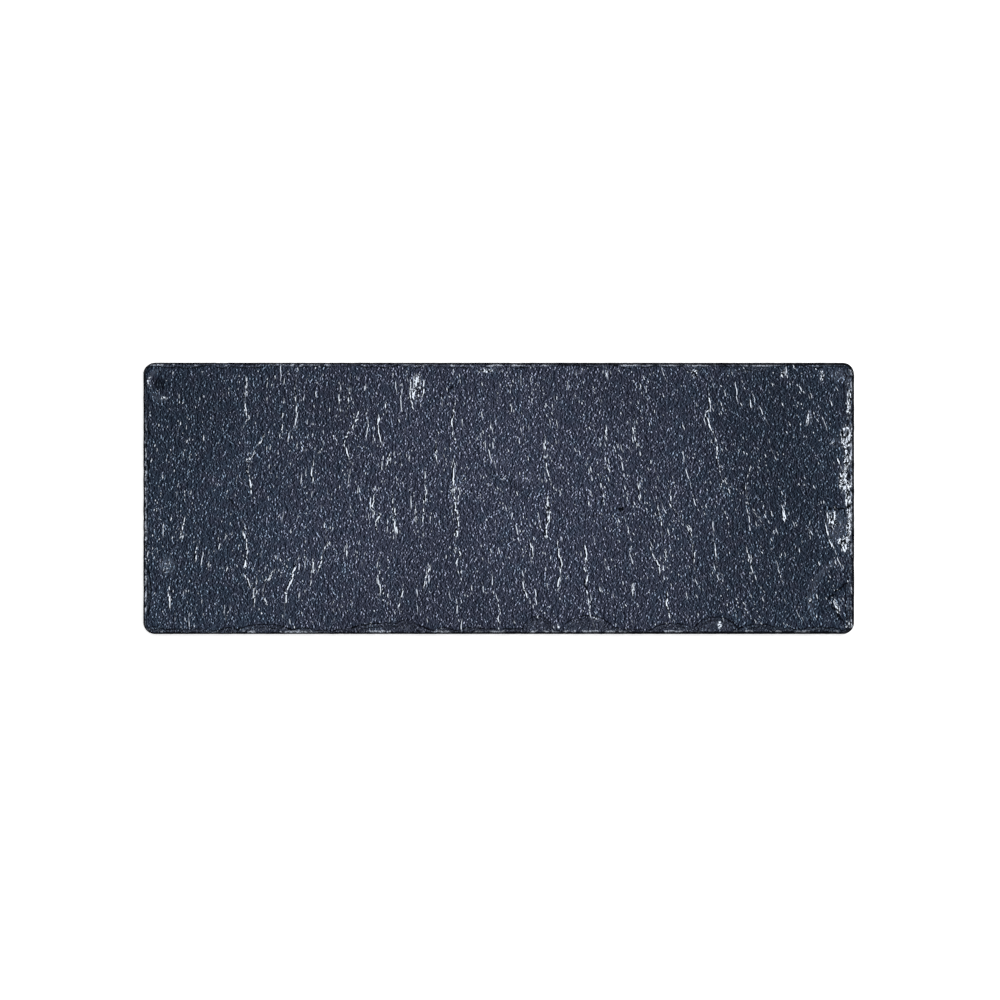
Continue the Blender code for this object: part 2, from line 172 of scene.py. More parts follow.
# Finer fractures that only the face shows
FRACTURES = [
    Streak(0.35, 0.08, 4, [(-83.7, 70.4), (-84.6, 54.5), (-85.5, 46)]),
    Streak(0.35, 0.08, 4, [(-89.3, 64.8), (-89.7, 50.7), (-87, 45)]),
    Streak(0.50, -0.10, 5, [(-67.7, 48), (-67.9, 39.4), (-66.4, 30.4)]),
    Streak(0.45, 0.08, 4, [(-63.4, 55.4), (-63.9, 48)]),
    Streak(0.50, 0.08, 4, [(-61, 25.4), (-62, 18.8), (-64, 16)]),
    Streak(0.55, -0.08, 4, [(-55.5, 25.4), (-55.5, 18)]),
    Streak(0.45, 0.10, 5, [(-34.3, 38.5), (-35.8, 28), (-34.8, 18.8)]),
    Streak(0.55, 0.10, 5, [(-59.3, 1), (-58.9, -7.5), (-57.4, -22.5)]),
    Streak(0.95, -0.12, 5, [(-104.3, -32), (-105, -41), (-105.8, -49)]),
    Streak(0.35, 0.08, 4, [(-136, -44), (-138, -62)]),
    Streak(0.65, -0.10, 5, [(-176.6, -10.3), (-178.5, -23.5)]),
    Streak(0.50, 0.08, 4, [(-169, -23.5), (-171, -35.7)]),
    Streak(0.60, 0.10, 5, [(-185, -48.8), (-185, -62)]),
    Streak(0.45, -0.08, 4, [(-157, -18.8), (-158, -30)]),
    Streak(0.45, 0.10, 5, [(-66.8, -28), (-67.7, -41), (-66.8, -56)]),
    Streak(0.60, -0.10, 5, [(-53.6, -50.7), (-56.5, -62)]),
    Streak(0.55, 0.10, 5, [(-38.6, -37.6), (-42.4, -50.7)]),
    Streak(0.60, 0.10, 5, [(17.2, -22.5), (19, -35.7)]),
    Streak(0.65, -0.10, 5, [(13.4, -45), (14.4, -50.7), (17.2, -58)]),
    Streak(0.50, 0.10, 5, [(78.2, 9.4), (80, -2)]),
    Streak(0.40, -0.08, 4, [(60.4, 41.3), (60.7, 32)]),
    Streak(0.50, 0.10, 5, [(57.6, 13), (59.4, -5.6)]),
    Streak(0.50, -0.10, 5, [(89.5, -3.8), (92.3, -20.7)]),
    Streak(0.50, 0.10, 5, [(84.8, -24.4), (89.5, -37.6), (90.4, -43)]),
    Streak(0.75, 0.10, 5, [(94.2, -52.6), (95, -62), (97, -69.5)]),
    Streak(0.75, -0.08, 4, [(141.7, 55.4), (142, 50.7)]),
    Streak(0.40, 0.10, 5, [(120.5, -22.5), (124, -43)]),
    Streak(0.40, -0.10, 5, [(139.3, -26.3), (143, -43)]),
    Streak(0.85, 0.08, 4, [(159.9, -6.6), (160.8, -13)]),
    Streak(0.35, 0.08, 4, [(174, 49.7), (173, 41.3)]),
    Streak(0.45, 0.08, 4, [(75, -47), (76, -57)]),
    Streak(0.35, -0.08, 4, [(7, 55), (6, 47)]),
    Streak(0.35, 0.08, 4, [(-47, -3), (-46, -14)]),
    Streak(1.0, 0.08, 3, [(-46.5, 70), (-45.6, 64.5), (-48.0, 58), (-46.5, 52.5)]),
    Streak(1.0, 0.08, 3, [(-49.6, 67.0), (-49.9, 59.5), (-49.0, 53.5), (-47.5, 50.0)]),
    Streak(0.9, 0.08, 3, [(-42.5, 67.0), (-42.9, 60.5), (-43.4, 55.5)]),
    Streak(1.0, 0.08, 3, [(185.1, -6.2), (184.2, -14.6), (185.1, -20.3), (187.0, -24.8),
                          (188.2, -28.7)]),
    Streak(0.8, 0.08, 3, [(189.3, -6.8), (188.7, -12.5)]),
    Streak(1.0, 0.08, 3, [(197.2, 60.8), (195.4, 54.0)]),
    Streak(1.0, 0.08, 3, [(197.2, 41.5), (195.2, 35.5), (193.0, 29.0)]),
    Streak(0.9, 0.08, 3, [(196.3, 4.0), (196.1, -5.1)]),
    Streak(0.9, 0.08, 3, [(197.6, -9.0), (197.2, -19.2)]),
    Streak(0.8, 0.08, 3, [(189.6, 25.5), (192.7, 15.8)]),
    Streak(1.0, 0.08, 3, [(187.6, -56.0), (189.4, -60.6), (192.0, -65.4)]),
    Streak(0.9, 0.08, 3, [(197.6, -67.6), (195.4, -70.6), (195.0, -73.4)]),
    Streak(-0.9, 0.06, 3, [(-152.2, 0), (-147.5, -5.6)]),
    Streak(-0.7, 0.06, 3, [(-40.5, 53.5), (-28.5, 60.3), (-17.9, 68.6)]),
    Streak(-0.4, 0.06, 3, [(30, -6), (40, -10.5), (56.6, -9.5), (66, -6)]),
    Streak(-0.4, 0.06, 3, [(-5, -26), (4, -23), (10, -22)]),
    Streak(-1.6, 0.06, 3, [(198.8, -45.0), (187.3, -54.6), (186.6, -57.4), (190.4, -65.6),
                           (194.8, -71.5)]),
    Streak(-1.0, 0.06, 3, [(183.0, -5.4), (196.6, -5.8)]),
    Streak(-0.8, 0.06, 3, [(195.2, -22.5), (191.5, -27.0)]),
]

# Where the highest cleavage plane survives whole
LANDS = [
    Patch((-72, -32), (18, 30), 0.55),
    Patch((62, 28), (11, 26), 0.35),
]

HOLLOWS = [
    Patch((69, -7), (3.2, 3.6), 0.60),
    Patch((66, -3), (6.0, 2.4), 0.25),
    Patch((-45, 62), (4.0, 11.0), 0.30),
    Patch((-191, 64), (5.6, 5.6), 0.40),
    Patch((-186, -38), (6.5, 6.5), 0.16),
    Patch((192, -19), (5.5, 13.0), 0.40),
    Patch((176, 45), (3.0, 6.5), 0.18),
]

# Chips that stand out, in millimetres: place along the side, half width, reach and drop
BOTTOM_CHIPS = [(-132, 17, 5.5, 2.8), (-62, 26, 6.2, 3.2), (-52, 8, 8.2, 3.4), (22, 9, 10.0, 3.0),
                (50, 15, 10.4, 3.1), (98, 14, 6.0, 3.4), (122, 13, 9.6, 3.2), (146, 13, 5.6, 3.0)]
TOP_CHIPS = [(-6, 10, 4.6, 2.6), (109, 6, 5.4, 2.8), (145, 9, 5.2, 2.6), (-156, 4, 3.2, 3.2),
             (9, 4, 3.0, 3.2)]
RIGHT_CHIPS = [(57, 8, 5.4, 3.6), (33, 10, 7.0, 3.8), (12, 12, 6.2, 3.6), (-6, 8, 5.0, 3.4),
               (-30, 9, 4.6, 3.0)]
LEFT_CHIPS = [(-52, 16, 4.4, 3.4), (5, 10, 3.6, 3.0)]

# Nicks in the outline itself: place, half width and depth, in millimetres
TOP_NICKS = [(-156, 3.2, 0.7), (9, 3.0, 0.6)]

# Bruised, scuffed and freshly broken stone, which is pale; at the right-hand end the pale patches are
# also painted highlights on chip facets that face the light
PALE_PATCHES = [
    Patch((-45.6, 61.5), (3.4, 9.5), 0.55),
    Patch((-186.2, -37.7), (6.0, 6.0), 0.30),
    Patch((187.3, -12.0), (3.0, 6.5), 0.50),
    Patch((190.0, -17.0), (6.0, 11.0), 0.28),
    Patch((197.0, 57.5), (1.6, 4.4), 0.9),
    Patch((196.6, 48.0), (1.8, 4.8), 0.6),
    Patch((195.4, 34.5), (4.4, 8.6), 0.80),
    Patch((189.0, 31.0), (2.6, 3.0), 0.50),
    Patch((195.8, 22.0), (3.4, 6.6), 0.75),
    Patch((194.6, 10.5), (4.6, 8.0), 0.85),
    Patch((196.6, -2.0), (2.4, 9.0), 0.80),
    Patch((197.0, -15.0), (2.2, 9.0), 0.75),
    Patch((194.6, -25.5), (4.4, 5.6), 0.80),
    Patch((197.2, 58.0), (1.8, 12.0), 0.55),
    Patch((190.6, -62.4), (1.3, 2.6), 0.8),
    Patch((197.8, -71.1), (1.6, 2.2), 0.8),
    Patch((181.5, 69.0), (1.7, 4.4), 0.7),
    Patch((191.5, 69.0), (7.5, 5.0), 0.22),
    Patch((174.4, 45.3), (2.3, 4.4), 0.45),
    Patch((109.7, 69.8), (2.4, 3.2), 0.65),
    Patch((160.0, 70.3), (2.2, 2.8), 0.6),
    Patch((44.0, 71.0), (5.0, 1.7), 0.35),
    Patch((-6.0, 71.5), (8.5, 1.5), 0.55),
    Patch((135.0, 71.5), (9.5, 0.9), 0.5),
    Patch((124.0, -71.0), (1.7, 2.6), 0.8),
    Patch((54.7, -67.6), (4.0, 2.0), 0.45),
    Patch((33.0, -71.5), (1.8, 2.0), 0.45),
    Patch((0.0, -71.0), (0.8, 3.4), 0.6),
    Patch((-72.0, -70.5), (0.8, 2.6), 0.5),
    Patch((-166.5, 70.4), (1.4, 1.6), 0.5),
    Patch((-113.5, 69.3), (1.2, 3.0), 0.5),
    Patch((-158.6, 50.7), (1.6, 1.4), 0.4),
    Patch((67.7, -12.0), (1.5, 1.3), 0.9),
    Patch((-1.0, 21.0), (9.0, 4.0), 0.16),
    Patch((14.0, 11.0), (9.0, 4.0), 0.16),
]
PALE_STROKES = [
    Stroke(0.60, 0.7, [(-198.4, 44), (-198.6, -20), (-198.4, -66)]),
    Stroke(0.24, 2.6, [(196, -33), (185, -38), (178, -46), (175, -57), (176.5, -71)]),
    Stroke(0.40, 1.6, [(-195, 60), (-197, 66), (-194, 71), (-188, 72.5)]),
    Stroke(0.30, 2.2, [(-196, 59), (-191, 55.5), (-186, 57)]),
]

# Shadowed creases and stained stone, which is dark
DARK_PATCHES = [
    Patch((-190.7, 64.2), (4.8, 4.8), 0.65),
    Patch((68.6, -6.0), (2.4, 2.0), 1.0),
    Patch((132.0, -16.0), (7.0, 3.5), 0.30),
    Patch((186.0, -58.0), (7.0, 11.0), 0.20),
]
DARK_STROKES = [
    Stroke(0.30, 4.5, [(-9, 19), (0, 12), (20, -1)]),
    Stroke(0.45, 1.8, [(190, -42), (184, -48), (181, -58), (183, -68)]),
    Stroke(0.70, 0.9, [(-198, -41), (-197, -57), (-197.6, -71)]),
]

# Broad light and dark areas: a painted sheen lightens the middle, and the stone is darker towards the
# ends
TONES = [
    Patch((-182, 42), (40, 52), -0.34),
    Patch((-130, 60), (55, 30), -0.18),
    Patch((-175, -40), (45, 50), -0.16),
    Patch((-92, -27), (55, 42), 0.22),
    Patch((-25, 10), (60, 80), 0.20),
    Patch((30, 0), (60, 70), 0.20),
    Patch((165, 42), (65, 60), -0.44),
    Patch((165, -38), (65, 60), -0.34),
    Patch((85, 62), (50, 20), -0.14),
]


def read_all(items: bpy.types.bpy_prop_collection, name: str, width: int = 1,
             kind: type = float) -> Array:
    """Reads one thing off all of a mesh's points, corners or faces.

    Args:
        items: The points, corners or faces.
        name: What is read.
        width: How many numbers each has.
        kind: Whether they are whole.

    Returns:
        The numbers, in rows where each item has several.
    """
    values = np.empty(len(items) * width, kind)
    items.foreach_get(name, values)
    return values if width == 1 else values.reshape(-1, width)


def unevenness(x: Array, y: Array, wave: Point, shift: float) -> Array:
    """Unevenness from about -1 to 1, in waves along and across the slab, from one part of the noise."""
    return np.array([noise.noise(Vector((a / wave[0] + shift, b / wave[1] - shift, shift)))
                     for a, b in zip(x.tolist(), y.tolist())])


def near_line(x: Array, y: Array, points: list[Point]) -> tuple[Array, Array, Array]:
    """Finds where places lie beside a broken line.

    Args:
        x: Places along the slab.
        y: Places across the slab.
        points: The line's points in millimetres.

    Returns:
        How far each place is from the line, on which side of it (above zero on the left), and how far
        along it, from 0 to 1.
    """
    line = np.array(points) * MM
    lengths = np.hypot(*np.diff(line, axis=0).T)
    nearest = np.full(x.shape, np.inf)
    side = np.zeros(x.shape)
    walked = np.zeros(x.shape)
    before = 0.0
    for start, end, length in zip(line, line[1:], lengths):
        run = (end - start) / length
        step = np.clip((x - start[0]) * run[0] + (y - start[1]) * run[1], 0, length)
        off_x = x - start[0] - step * run[0]
        off_y = y - start[1] - step * run[1]
        gap = np.hypot(off_x, off_y)
        closer = gap < nearest
        nearest[closer] = gap[closer]
        side[closer] = (run[0] * off_y - run[1] * off_x)[closer]
        walked[closer] = (before + step[closer]) / lengths.sum()
        before += length
    return nearest, side, walked


def upright(streak: Streak, walked: Array) -> Array:
    """Dims a streak where it leans, because the break is widest along the grain.

    Args:
        streak: The streak.
        walked: How far along the streak each place is, from 0 to 1.

    Returns:
        The share of its whiteness that the streak keeps.
    """
    runs = np.diff(np.array(streak.points), axis=0)
    lengths = np.hypot(*runs.T)
    leans = np.abs(runs[:, 0]) / lengths
    ends = np.cumsum(lengths)[:-1] / lengths.sum()
    return np.clip(1.30 - 1.5 * leans[np.searchsorted(ends, walked)], 0.35, 1)


def oval(x: Array, y: Array, patch: Patch) -> Array:
    """Fills an oval patch.

    Args:
        x: Places along the slab.
        y: Places across the slab.
        patch: The oval.

    Returns:
        The patch's amount at its middle, falling to 0 at its rim.
    """
    far_x = (x - patch.middle[0] * MM) / (patch.half_size[0] * MM)
    far_y = (y - patch.middle[1] * MM) / (patch.half_size[1] * MM)
    return patch.amount * np.clip(1 - far_x ** 2 - far_y ** 2, 0, 1)


@dataclass
class RivenSlab:
    """The slab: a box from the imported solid, split faces and a knapped edge."""

    low: Vector
    high: Vector
    corner_radius: float = 6.6 * MM

    # Lattice
    edge_band: float = 11.0 * MM
    edge_cut: float = 0.75 * MM
    length_cut: float = 0.80 * MM
    width_cut: float = 1.70 * MM
    side_layers: int = 8
    triangles: int = 192_000

    # Split faces, as in the solid
    face_level: float = 0.20 * MM
    face_shift: float = 0.3
    swell_height: float = 0.26 * MM
    swell_wave: Point = (150.0 * MM, 85.0 * MM)
    riven_height: float = 0.34 * MM
    riven_wave: Point = (21.0 * MM, 66.0 * MM)
    fine_height: float = 0.10 * MM
    fine_wave: Point = (8.0 * MM, 30.0 * MM)
    cleavage_step: float = 0.13 * MM
    riser_share: float = 0.12
    ledge_ramp: float = 0.45 * MM
    ledge_lip: float = 0.35
    under_level: float = -0.02 * MM
    under_shift: float = 37.4
    land_radius: float = 16.0 * MM

    # Grain that stands out of the split faces
    grain_height: float = 0.09 * MM
    grain_wave: Point = (2.6 * MM, 9.0 * MM)

    # Knapped edge, as in the solid
    seed: int = 11
    arris_reach: float = 1.3 * MM
    arris_drop: float = 2.2 * MM
    scar_half_width: Point = (3.5 * MM, 10.5 * MM)
    scar_depth: Point = (2.4 * MM, 3.9 * MM)
    scar_hollow: float = 1.8
    edge_roughness: float = 0.22 * MM
    edge_wave: float = 3.5 * MM
    edge_shift: float = 3.6
    lowest_arris: float = 1.5 * MM
    under_chip_reach: float = 1.7 * MM
    under_chip_rise: Point = (0.5 * MM, 0.45 * MM)
    under_chip_wave: float = 7.0 * MM
    side_roughness: float = 0.18 * MM
    layering: float = 3.0

    # Layers that show where the edge is broken
    layer_height: float = 0.42 * MM
    layer_share: float = 0.6
    layer_riser: float = 0.35

    # The spall at the lower right corner, and the facet struck off the upper right one
    spall_middle: Point = (197 * MM, -57 * MM)
    spall_radius: float = 23 * MM
    spall_depth: float = 0.42 * MM
    spall_ripple: float = 0.07 * MM
    spall_ripples: float = 3
    spall_rim: float = 0.05
    facet_start_x: float = 186 * MM
    facet_end_y: float = 60 * MM
    facet_slope: float = 0.11

    # Traces: how far they reach, how low on the walls, and how full their shapes are
    trace_reach: float = 3 * MM
    streak_reach: float = 1.3 * MM
    lowest_mark: float = 1.1 * MM
    mark_fade: float = 0.5 * MM
    border_height: float = 1.2 * MM
    pale_fill: float = 1.5
    dark_fill: float = 1.8
    stroke_taper: float = 6

    # The mesh's shading and its flat layout
    crease_angle: float = 40
    layout_margin: float = 3 * MM
    wall_tilt: float = 0.18

    scars: list[Scar] = field(default_factory=list)

    def __post_init__(self) -> None:
        """Works out the sides and the chips from the box."""
        half_x, half_y = self.length / 2, self.width / 2
        chance = random.Random(self.seed)
        sides = [
            (Side((0.0, half_y), (1.0, 0.0), half_x, (1.6 * MM, 3.2 * MM)), TOP_CHIPS),
            (Side((0.0, -half_y), (1.0, 0.0), half_x, (1.9 * MM, 4.2 * MM)), BOTTOM_CHIPS),
            (Side((-half_x, 0.0), (0.0, 1.0), half_y, (1.9 * MM, 3.5 * MM)), LEFT_CHIPS),
            (Side((half_x, 0.0), (0.0, 1.0), half_y, (2.8 * MM, 6.2 * MM)), RIGHT_CHIPS),
        ]
        for side, listed in sides:
            self.scars += self.chips_of(side, listed, chance)

    @property
    def length(self) -> float:
        """The slab's size along X."""
        return self.high.x - self.low.x

    @property
    def width(self) -> float:
        """The slab's size along Y."""
        return self.high.y - self.low.y

    @property
    def thickness(self) -> float:
        """The slab's size along Z."""
        return self.high.z - self.low.z

    def chips_of(self, side: Side, listed: list[tuple], chance: random.Random) -> list[Scar]:
        """Breaks chips out of one side.

        Args:
            side: The side.
            listed: The chips that stand out.
            chance: The source of the small chips' sizes.

        Returns:
            Small chips all along the side, then the listed ones.
        """
        place = -side.half_length
        scars = []
        while place < side.half_length:
            half_width = chance.uniform(*self.scar_half_width)
            middle = tuple(m + r * place for m, r in zip(side.middle, side.run))
            scars.append(Scar(middle, side.run, half_width, chance.uniform(*side.reach),
                              chance.uniform(*self.scar_depth)))
            place += half_width * chance.uniform(0.8, 1.3)
        for place, half_width, reach, drop in listed:
            middle = tuple(m + r * place * MM for m, r in zip(side.middle, side.run))
            scars.append(Scar(middle, side.run, half_width * MM, reach * MM, drop * MM))
        return scars

    def stepped(self, height: Array, step: float, share: float) -> Array:
        """Turns slopes into treads and risers, as cleavage planes do.

        Args:
            height: Smooth heights.
            step: Height of one riser.
            share: How much of each slope its riser takes.

        Returns:
            The stepped heights.
        """
        level = height / step
        tread = np.floor(level)
        riser = np.clip((level - tread - 1 + share) / share, 0, 1)
        return (tread + riser * riser * (3 - 2 * riser)) * step

    def riven(self, x: Array, y: Array, shift: float) -> Array:
        """Height of a split face over its mean level.

        Args:
            x: Places along the slab.
            y: Places across the slab.
            shift: Which part of the noise this face uses.

        Returns:
            The heights.
        """
        swell = self.swell_height * unevenness(x, y, self.swell_wave, shift)
        split = self.riven_height * unevenness(x, y, self.riven_wave, shift + 5)
        split += self.fine_height * unevenness(x, y, self.fine_wave, shift + 9)
        return swell + self.stepped(split, self.cleavage_step, self.riser_share)

    def grain(self, x: Array, y: Array, shift: float) -> Array:
        """Depth of the grain in a split face.

        Args:
            x: Places along the slab.
            y: Places across the slab.
            shift: Which part of the noise this face uses.

        Returns:
            Depths from 0 to the height of the grain.
        """
        ridges = 1 - np.abs(unevenness(x, y, self.grain_wave, shift + 13)) * 2
        return self.grain_height * np.clip(1 - ridges, 0, 1)

    def streak_rise(self, x: Array, y: Array, streak: Streak) -> Array:
        """Height that a streak's break adds to the face.

        Args:
            x: Places along the slab.
            y: Places across the slab.
            streak: The streak.

        Returns:
            A lip on the high side and a drop on the low side.
        """
        nearest, side, walked = near_line(x, y, streak.points)
        taper = np.sqrt(np.sin(np.pi * np.clip(walked, 0, 1)))
        fade = np.exp(-nearest / (streak.reach * MM))
        low_side = 0.5 + 0.5 * np.tanh(side / self.ledge_ramp)
        return -streak.step * MM * taper * fade * (low_side - self.ledge_lip)

    def spall_drop(self, x: Array, y: Array) -> Array:
        """Depth of the shell-shaped spall.

        Args:
            x: Places along the slab.
            y: Places across the slab.

        Returns:
            The depths, with a crisp rim and ripples inside it.
        """
        far = np.hypot(x - self.spall_middle[0], y - self.spall_middle[1]) / self.spall_radius
        inside = np.clip((1 - far) / self.spall_rim, 0, 1)
        ripples = self.spall_ripple * np.cos(2 * np.pi * self.spall_ripples * far)
        return inside * (self.spall_depth + ripples)

    def facet_drop(self, x: Array, y: Array) -> Array:
        """Depth of the plane struck off the upper right corner.

        Args:
            x: Places along the slab.
            y: Places across the slab.

        Returns:
            The depths.
        """
        start = np.array((self.facet_start_x, self.width / 2))
        end = np.array((self.length / 2, self.facet_end_y))
        run = (end - start) / np.hypot(*(end - start))
        beyond = (x - start[0]) * -run[1] + (y - start[1]) * run[0]
        return self.facet_slope * np.clip(beyond, 0, None)

    def outline(self, x: Array, y: Array) -> tuple[Array, Array, Array]:
        """Finds where places lie inside the rounded outline.

        Args:
            x: Places along the slab.
            y: Places across the slab.

        Returns:
            The distance in from the outline, and the way out to it along X and along Y.
        """
        past_x = np.abs(x) - (self.length / 2 - self.corner_radius)
        past_y = np.abs(y) - (self.width / 2 - self.corner_radius)
        corner = (past_x > 0) & (past_y > 0)
        reach = np.hypot(past_x, past_y)
        depth = self.corner_radius - np.where(corner, reach, np.maximum(past_x, past_y))
        safe = np.where(reach > 0, reach, 1)
        out_x = np.where(corner, past_x / safe, past_x >= past_y) * np.sign(x)
        out_y = np.where(corner, past_y / safe, past_x < past_y) * np.sign(y)
        return depth, out_x, out_y

    def chipped(self, x: Array, y: Array) -> tuple[Array, Array]:
        """Works out what has been struck off the upper edge.

        Args:
            x: Places along the slab.
            y: Places across the slab.

        Returns:
            How deep the chips are, and how far each place is from their inner rim, above zero on the
            riven face and below it in a chip.
        """
        depth, _, _ = self.outline(x, y)
        drop = self.arris_drop * np.clip(1 - depth / self.arris_reach, 0, 1)
        rim = depth - self.arris_reach
        near = depth < 1.2 * self.edge_band
        near_x, near_y = x[near], y[near]
        near_drop, near_rim = drop[near], rim[near]
        for scar in self.scars:
            off_x = near_x - scar.middle[0]
            off_y = near_y - scar.middle[1]
            along = off_x * scar.run[0] + off_y * scar.run[1]
            across = off_x * scar.run[1] - off_y * scar.run[0]
            far = np.hypot(along / scar.half_width, across / scar.reach)
            near_drop = np.maximum(near_drop, scar.drop * np.clip(1 - far ** self.scar_hollow, 0, 1))
            near_rim = np.minimum(near_rim, (far - 1) * scar.reach)
        drop[near], rim[near] = near_drop, near_rim
        return drop, rim

    def top_height(self, x: Array, y: Array) -> Array:
        """Height of the upper face, from its lands to the chipped arris.

        Args:
            x: Places along the slab.
            y: Places across the slab.

        Returns:
            The heights.
        """
        height = self.thickness - self.face_level + self.riven(x, y, self.face_shift)
        height += sum(self.streak_rise(x, y, streak) for streak in LEDGES)
        height += sum(oval(x, y, land) for land in LANDS) * MM
        height = np.minimum(height, self.thickness)
        height += np.minimum(sum(self.streak_rise(x, y, streak) for streak in FRACTURES), 0)
        height -= sum(oval(x, y, hollow) for hollow in HOLLOWS) * MM
        height -= self.spall_drop(x, y) + self.facet_drop(x, y)
        height -= self.grain(x, y, self.face_shift)
        drop, _ = self.chipped(x, y)
        wave = (self.edge_wave, self.edge_wave)
        rough = self.edge_roughness * unevenness(x, y, wave, self.edge_shift)
        broken = np.clip(drop / self.arris_drop, 0, 1)
        height = height - drop + rough * broken
        tilt = 0.5 * self.layer_height * unevenness(x, y, self.riven_wave, self.edge_shift)
        layered = self.stepped(height + tilt, self.layer_height, self.layer_riser) - tilt
        height += broken * self.layer_share * (layered - height)
        return np.clip(height, self.lowest_arris, self.thickness)

    def under_height(self, x: Array, y: Array) -> Array:
        """Height of the underside: flat lands on the resting plane, and hollows between them.

        Args:
            x: Places along the slab.
            y: Places across the slab.

        Returns:
            The heights.
        """
        height = np.maximum(self.riven(x, y, self.under_shift) - self.under_level, 0)
        height *= np.clip(np.hypot(x, y) / self.land_radius - 1, 0, 1)
        height += 0.5 * self.grain(x, y, self.under_shift)
        depth, _, _ = self.outline(x, y)
        least, more = self.under_chip_rise
        wave = (self.under_chip_wave, self.under_chip_wave)
        chips = least + more * unevenness(x, y, wave, self.under_shift)
        return height + chips * np.clip(1 - depth / self.under_chip_reach, 0, 1)

    def nick_depth(self, x: Array, y: Array) -> Array:
        """How far the nicks cut into the outline of the upper side.

        Args:
            x: Places along the slab.
            y: Places across the slab.

        Returns:
            The depths.
        """
        depth = np.zeros(x.shape)
        for place, half_width, deepest in TOP_NICKS:
            far = (x - place * MM) / (half_width * MM)
            depth += deepest * MM * np.clip(1 - far ** 2, 0, 1) * (y > 0)
        return depth

    def cuts(self, size: float, coarse: float) -> Array:
        """Places the lattice's cuts across one size.

        Args:
            size: The size.
            coarse: The distance between cuts away from the edge.

        Returns:
            The cuts' places, measured from the middle.
        """
        ends = np.arange(round(self.edge_band / self.edge_cut)) * self.edge_cut
        spaces = round((size - 2 * self.edge_band) / coarse)
        middle = np.linspace(self.edge_band, size - self.edge_band, spaces + 1)
        return np.concatenate([ends, middle, size - ends[::-1]]) - size / 2

    def round_corners(self, x: Array, y: Array) -> tuple[Array, Array]:
        """Pulls the lattice's square corners in to quarter circles.

        Args:
            x: Places along the slab.
            y: Places across the slab.

        Returns:
            The pulled-in places.
        """
        past_x = np.clip(np.abs(x) - (self.length / 2 - self.corner_radius), 0, None)
        past_y = np.clip(np.abs(y) - (self.width / 2 - self.corner_radius), 0, None)
        square = 2 * self.corner_radius ** 2
        pull_x = past_x * (1 - np.sqrt(1 - past_y ** 2 / square))
        pull_y = past_y * (1 - np.sqrt(1 - past_x ** 2 / square))
        return x - pull_x * np.sign(x), y - pull_y * np.sign(y)

    def build(self) -> bpy.types.Object:
        """Makes the slab's mesh object, linked to the scene.

        Returns:
            The object.
        """
        x_cuts = self.cuts(self.length, self.length_cut)
        y_cuts = self.cuts(self.width, self.width_cut)
        lattice = bmesh.new()
        bmesh.ops.create_cube(lattice, size=1.0)
        for axis, spaces in enumerate((len(x_cuts) - 1, len(y_cuts) - 1, self.side_layers)):
            edges = [edge for edge in lattice.edges
                     if abs(edge.verts[0].co[axis] - edge.verts[1].co[axis]) > 0.5]
            bmesh.ops.subdivide_edges(lattice, edges=edges, cuts=spaces - 1, use_grid_fill=True)
        mesh = bpy.data.meshes.new("riven_slate")
        lattice.to_mesh(mesh)
        lattice.free()
        slab = bpy.data.objects.new("riven_slate", mesh)
        bpy.context.scene.collection.objects.link(slab)
        bottom = self.shape(mesh, x_cuts, y_cuts)
        self.thin_underside(slab, bottom)
        self.trace(slab.data)
        self.lay_out(slab.data)
        self.part_underside(slab.data)
        return slab

    def shape(self, mesh: bpy.types.Mesh, x_cuts: Array, y_cuts: Array) -> Array:
        """Moves every point of the lattice to its place on the stone.

        Args:
            mesh: The lattice, a unit cube.
            x_cuts: Places of the cuts along the slab.
            y_cuts: Places of the cuts across it.

        Returns:
            The numbers of the points on the underside, away from its rim.
        """
        points = read_all(mesh.vertices, "co", 3)
        column = np.rint((points[:, 0] + 0.5) * (len(x_cuts) - 1)).astype(int)
        row = np.rint((points[:, 1] + 0.5) * (len(y_cuts) - 1)).astype(int)
        layer = points[:, 2] + 0.5
        x, y = self.round_corners(x_cuts[column], y_cuts[row])
        depth, out_x, out_y = self.outline(x, y)
        on_side = depth < self.edge_cut / 4
        top = (layer > 0.999) | on_side
        low = self.under_height(x, y)
        high = np.full(x.shape, self.thickness)
        high[top] = self.top_height(x[top], y[top])
        height = low + layer * (high - low)
        rough = np.array([noise.noise(Vector(point) / self.edge_wave)
                          for point in zip(x, y, self.layering * height)])
        fine = np.array([noise.noise(Vector(point) / (0.3 * self.edge_wave))
                         for point in zip(x, y, 2 * self.layering * height)])
        inset = np.clip(rough + 0.5 * fine, 0, None) * self.side_roughness
        inset = (inset + self.nick_depth(x, y) * layer) * on_side
        places = np.column_stack([x - out_x * inset, y - out_y * inset, height])
        mesh.vertices.foreach_set("co", places.astype(np.float32).ravel())
        mesh.update()
        return np.flatnonzero((layer < 0.001) & (depth > 2 * self.under_chip_reach))

    def thin_underside(self, slab: bpy.types.Object, bottom: Array) -> None:
        """Thins out the underside's triangles where it is plain.

        Args:
            slab: The slab.
            bottom: The numbers of its points on the underside.
        """
        slab.data.calc_loop_triangles()
        group = slab.vertex_groups.new(name="underside")
        group.add(bottom.tolist(), 1.0, "REPLACE")
        thin = slab.modifiers.new("thin", "DECIMATE")
        thin.ratio = self.triangles / len(slab.data.loop_triangles)
        thin.vertex_group = group.name
        evaluated = slab.evaluated_get(bpy.context.evaluated_depsgraph_get())
        stone = bpy.data.meshes.new_from_object(evaluated)
        slab.modifiers.remove(thin)
        slab.vertex_groups.clear()
        slab.data = stone
        stone.name = slab.name
        points = np.clip(read_all(stone.vertices, "co", 3), self.low, self.high)
        stone.vertices.foreach_set("co", points.astype(np.float32).ravel())
        stone.shade_smooth()
        stone.set_sharp_from_angle(angle=math.radians(self.crease_angle))

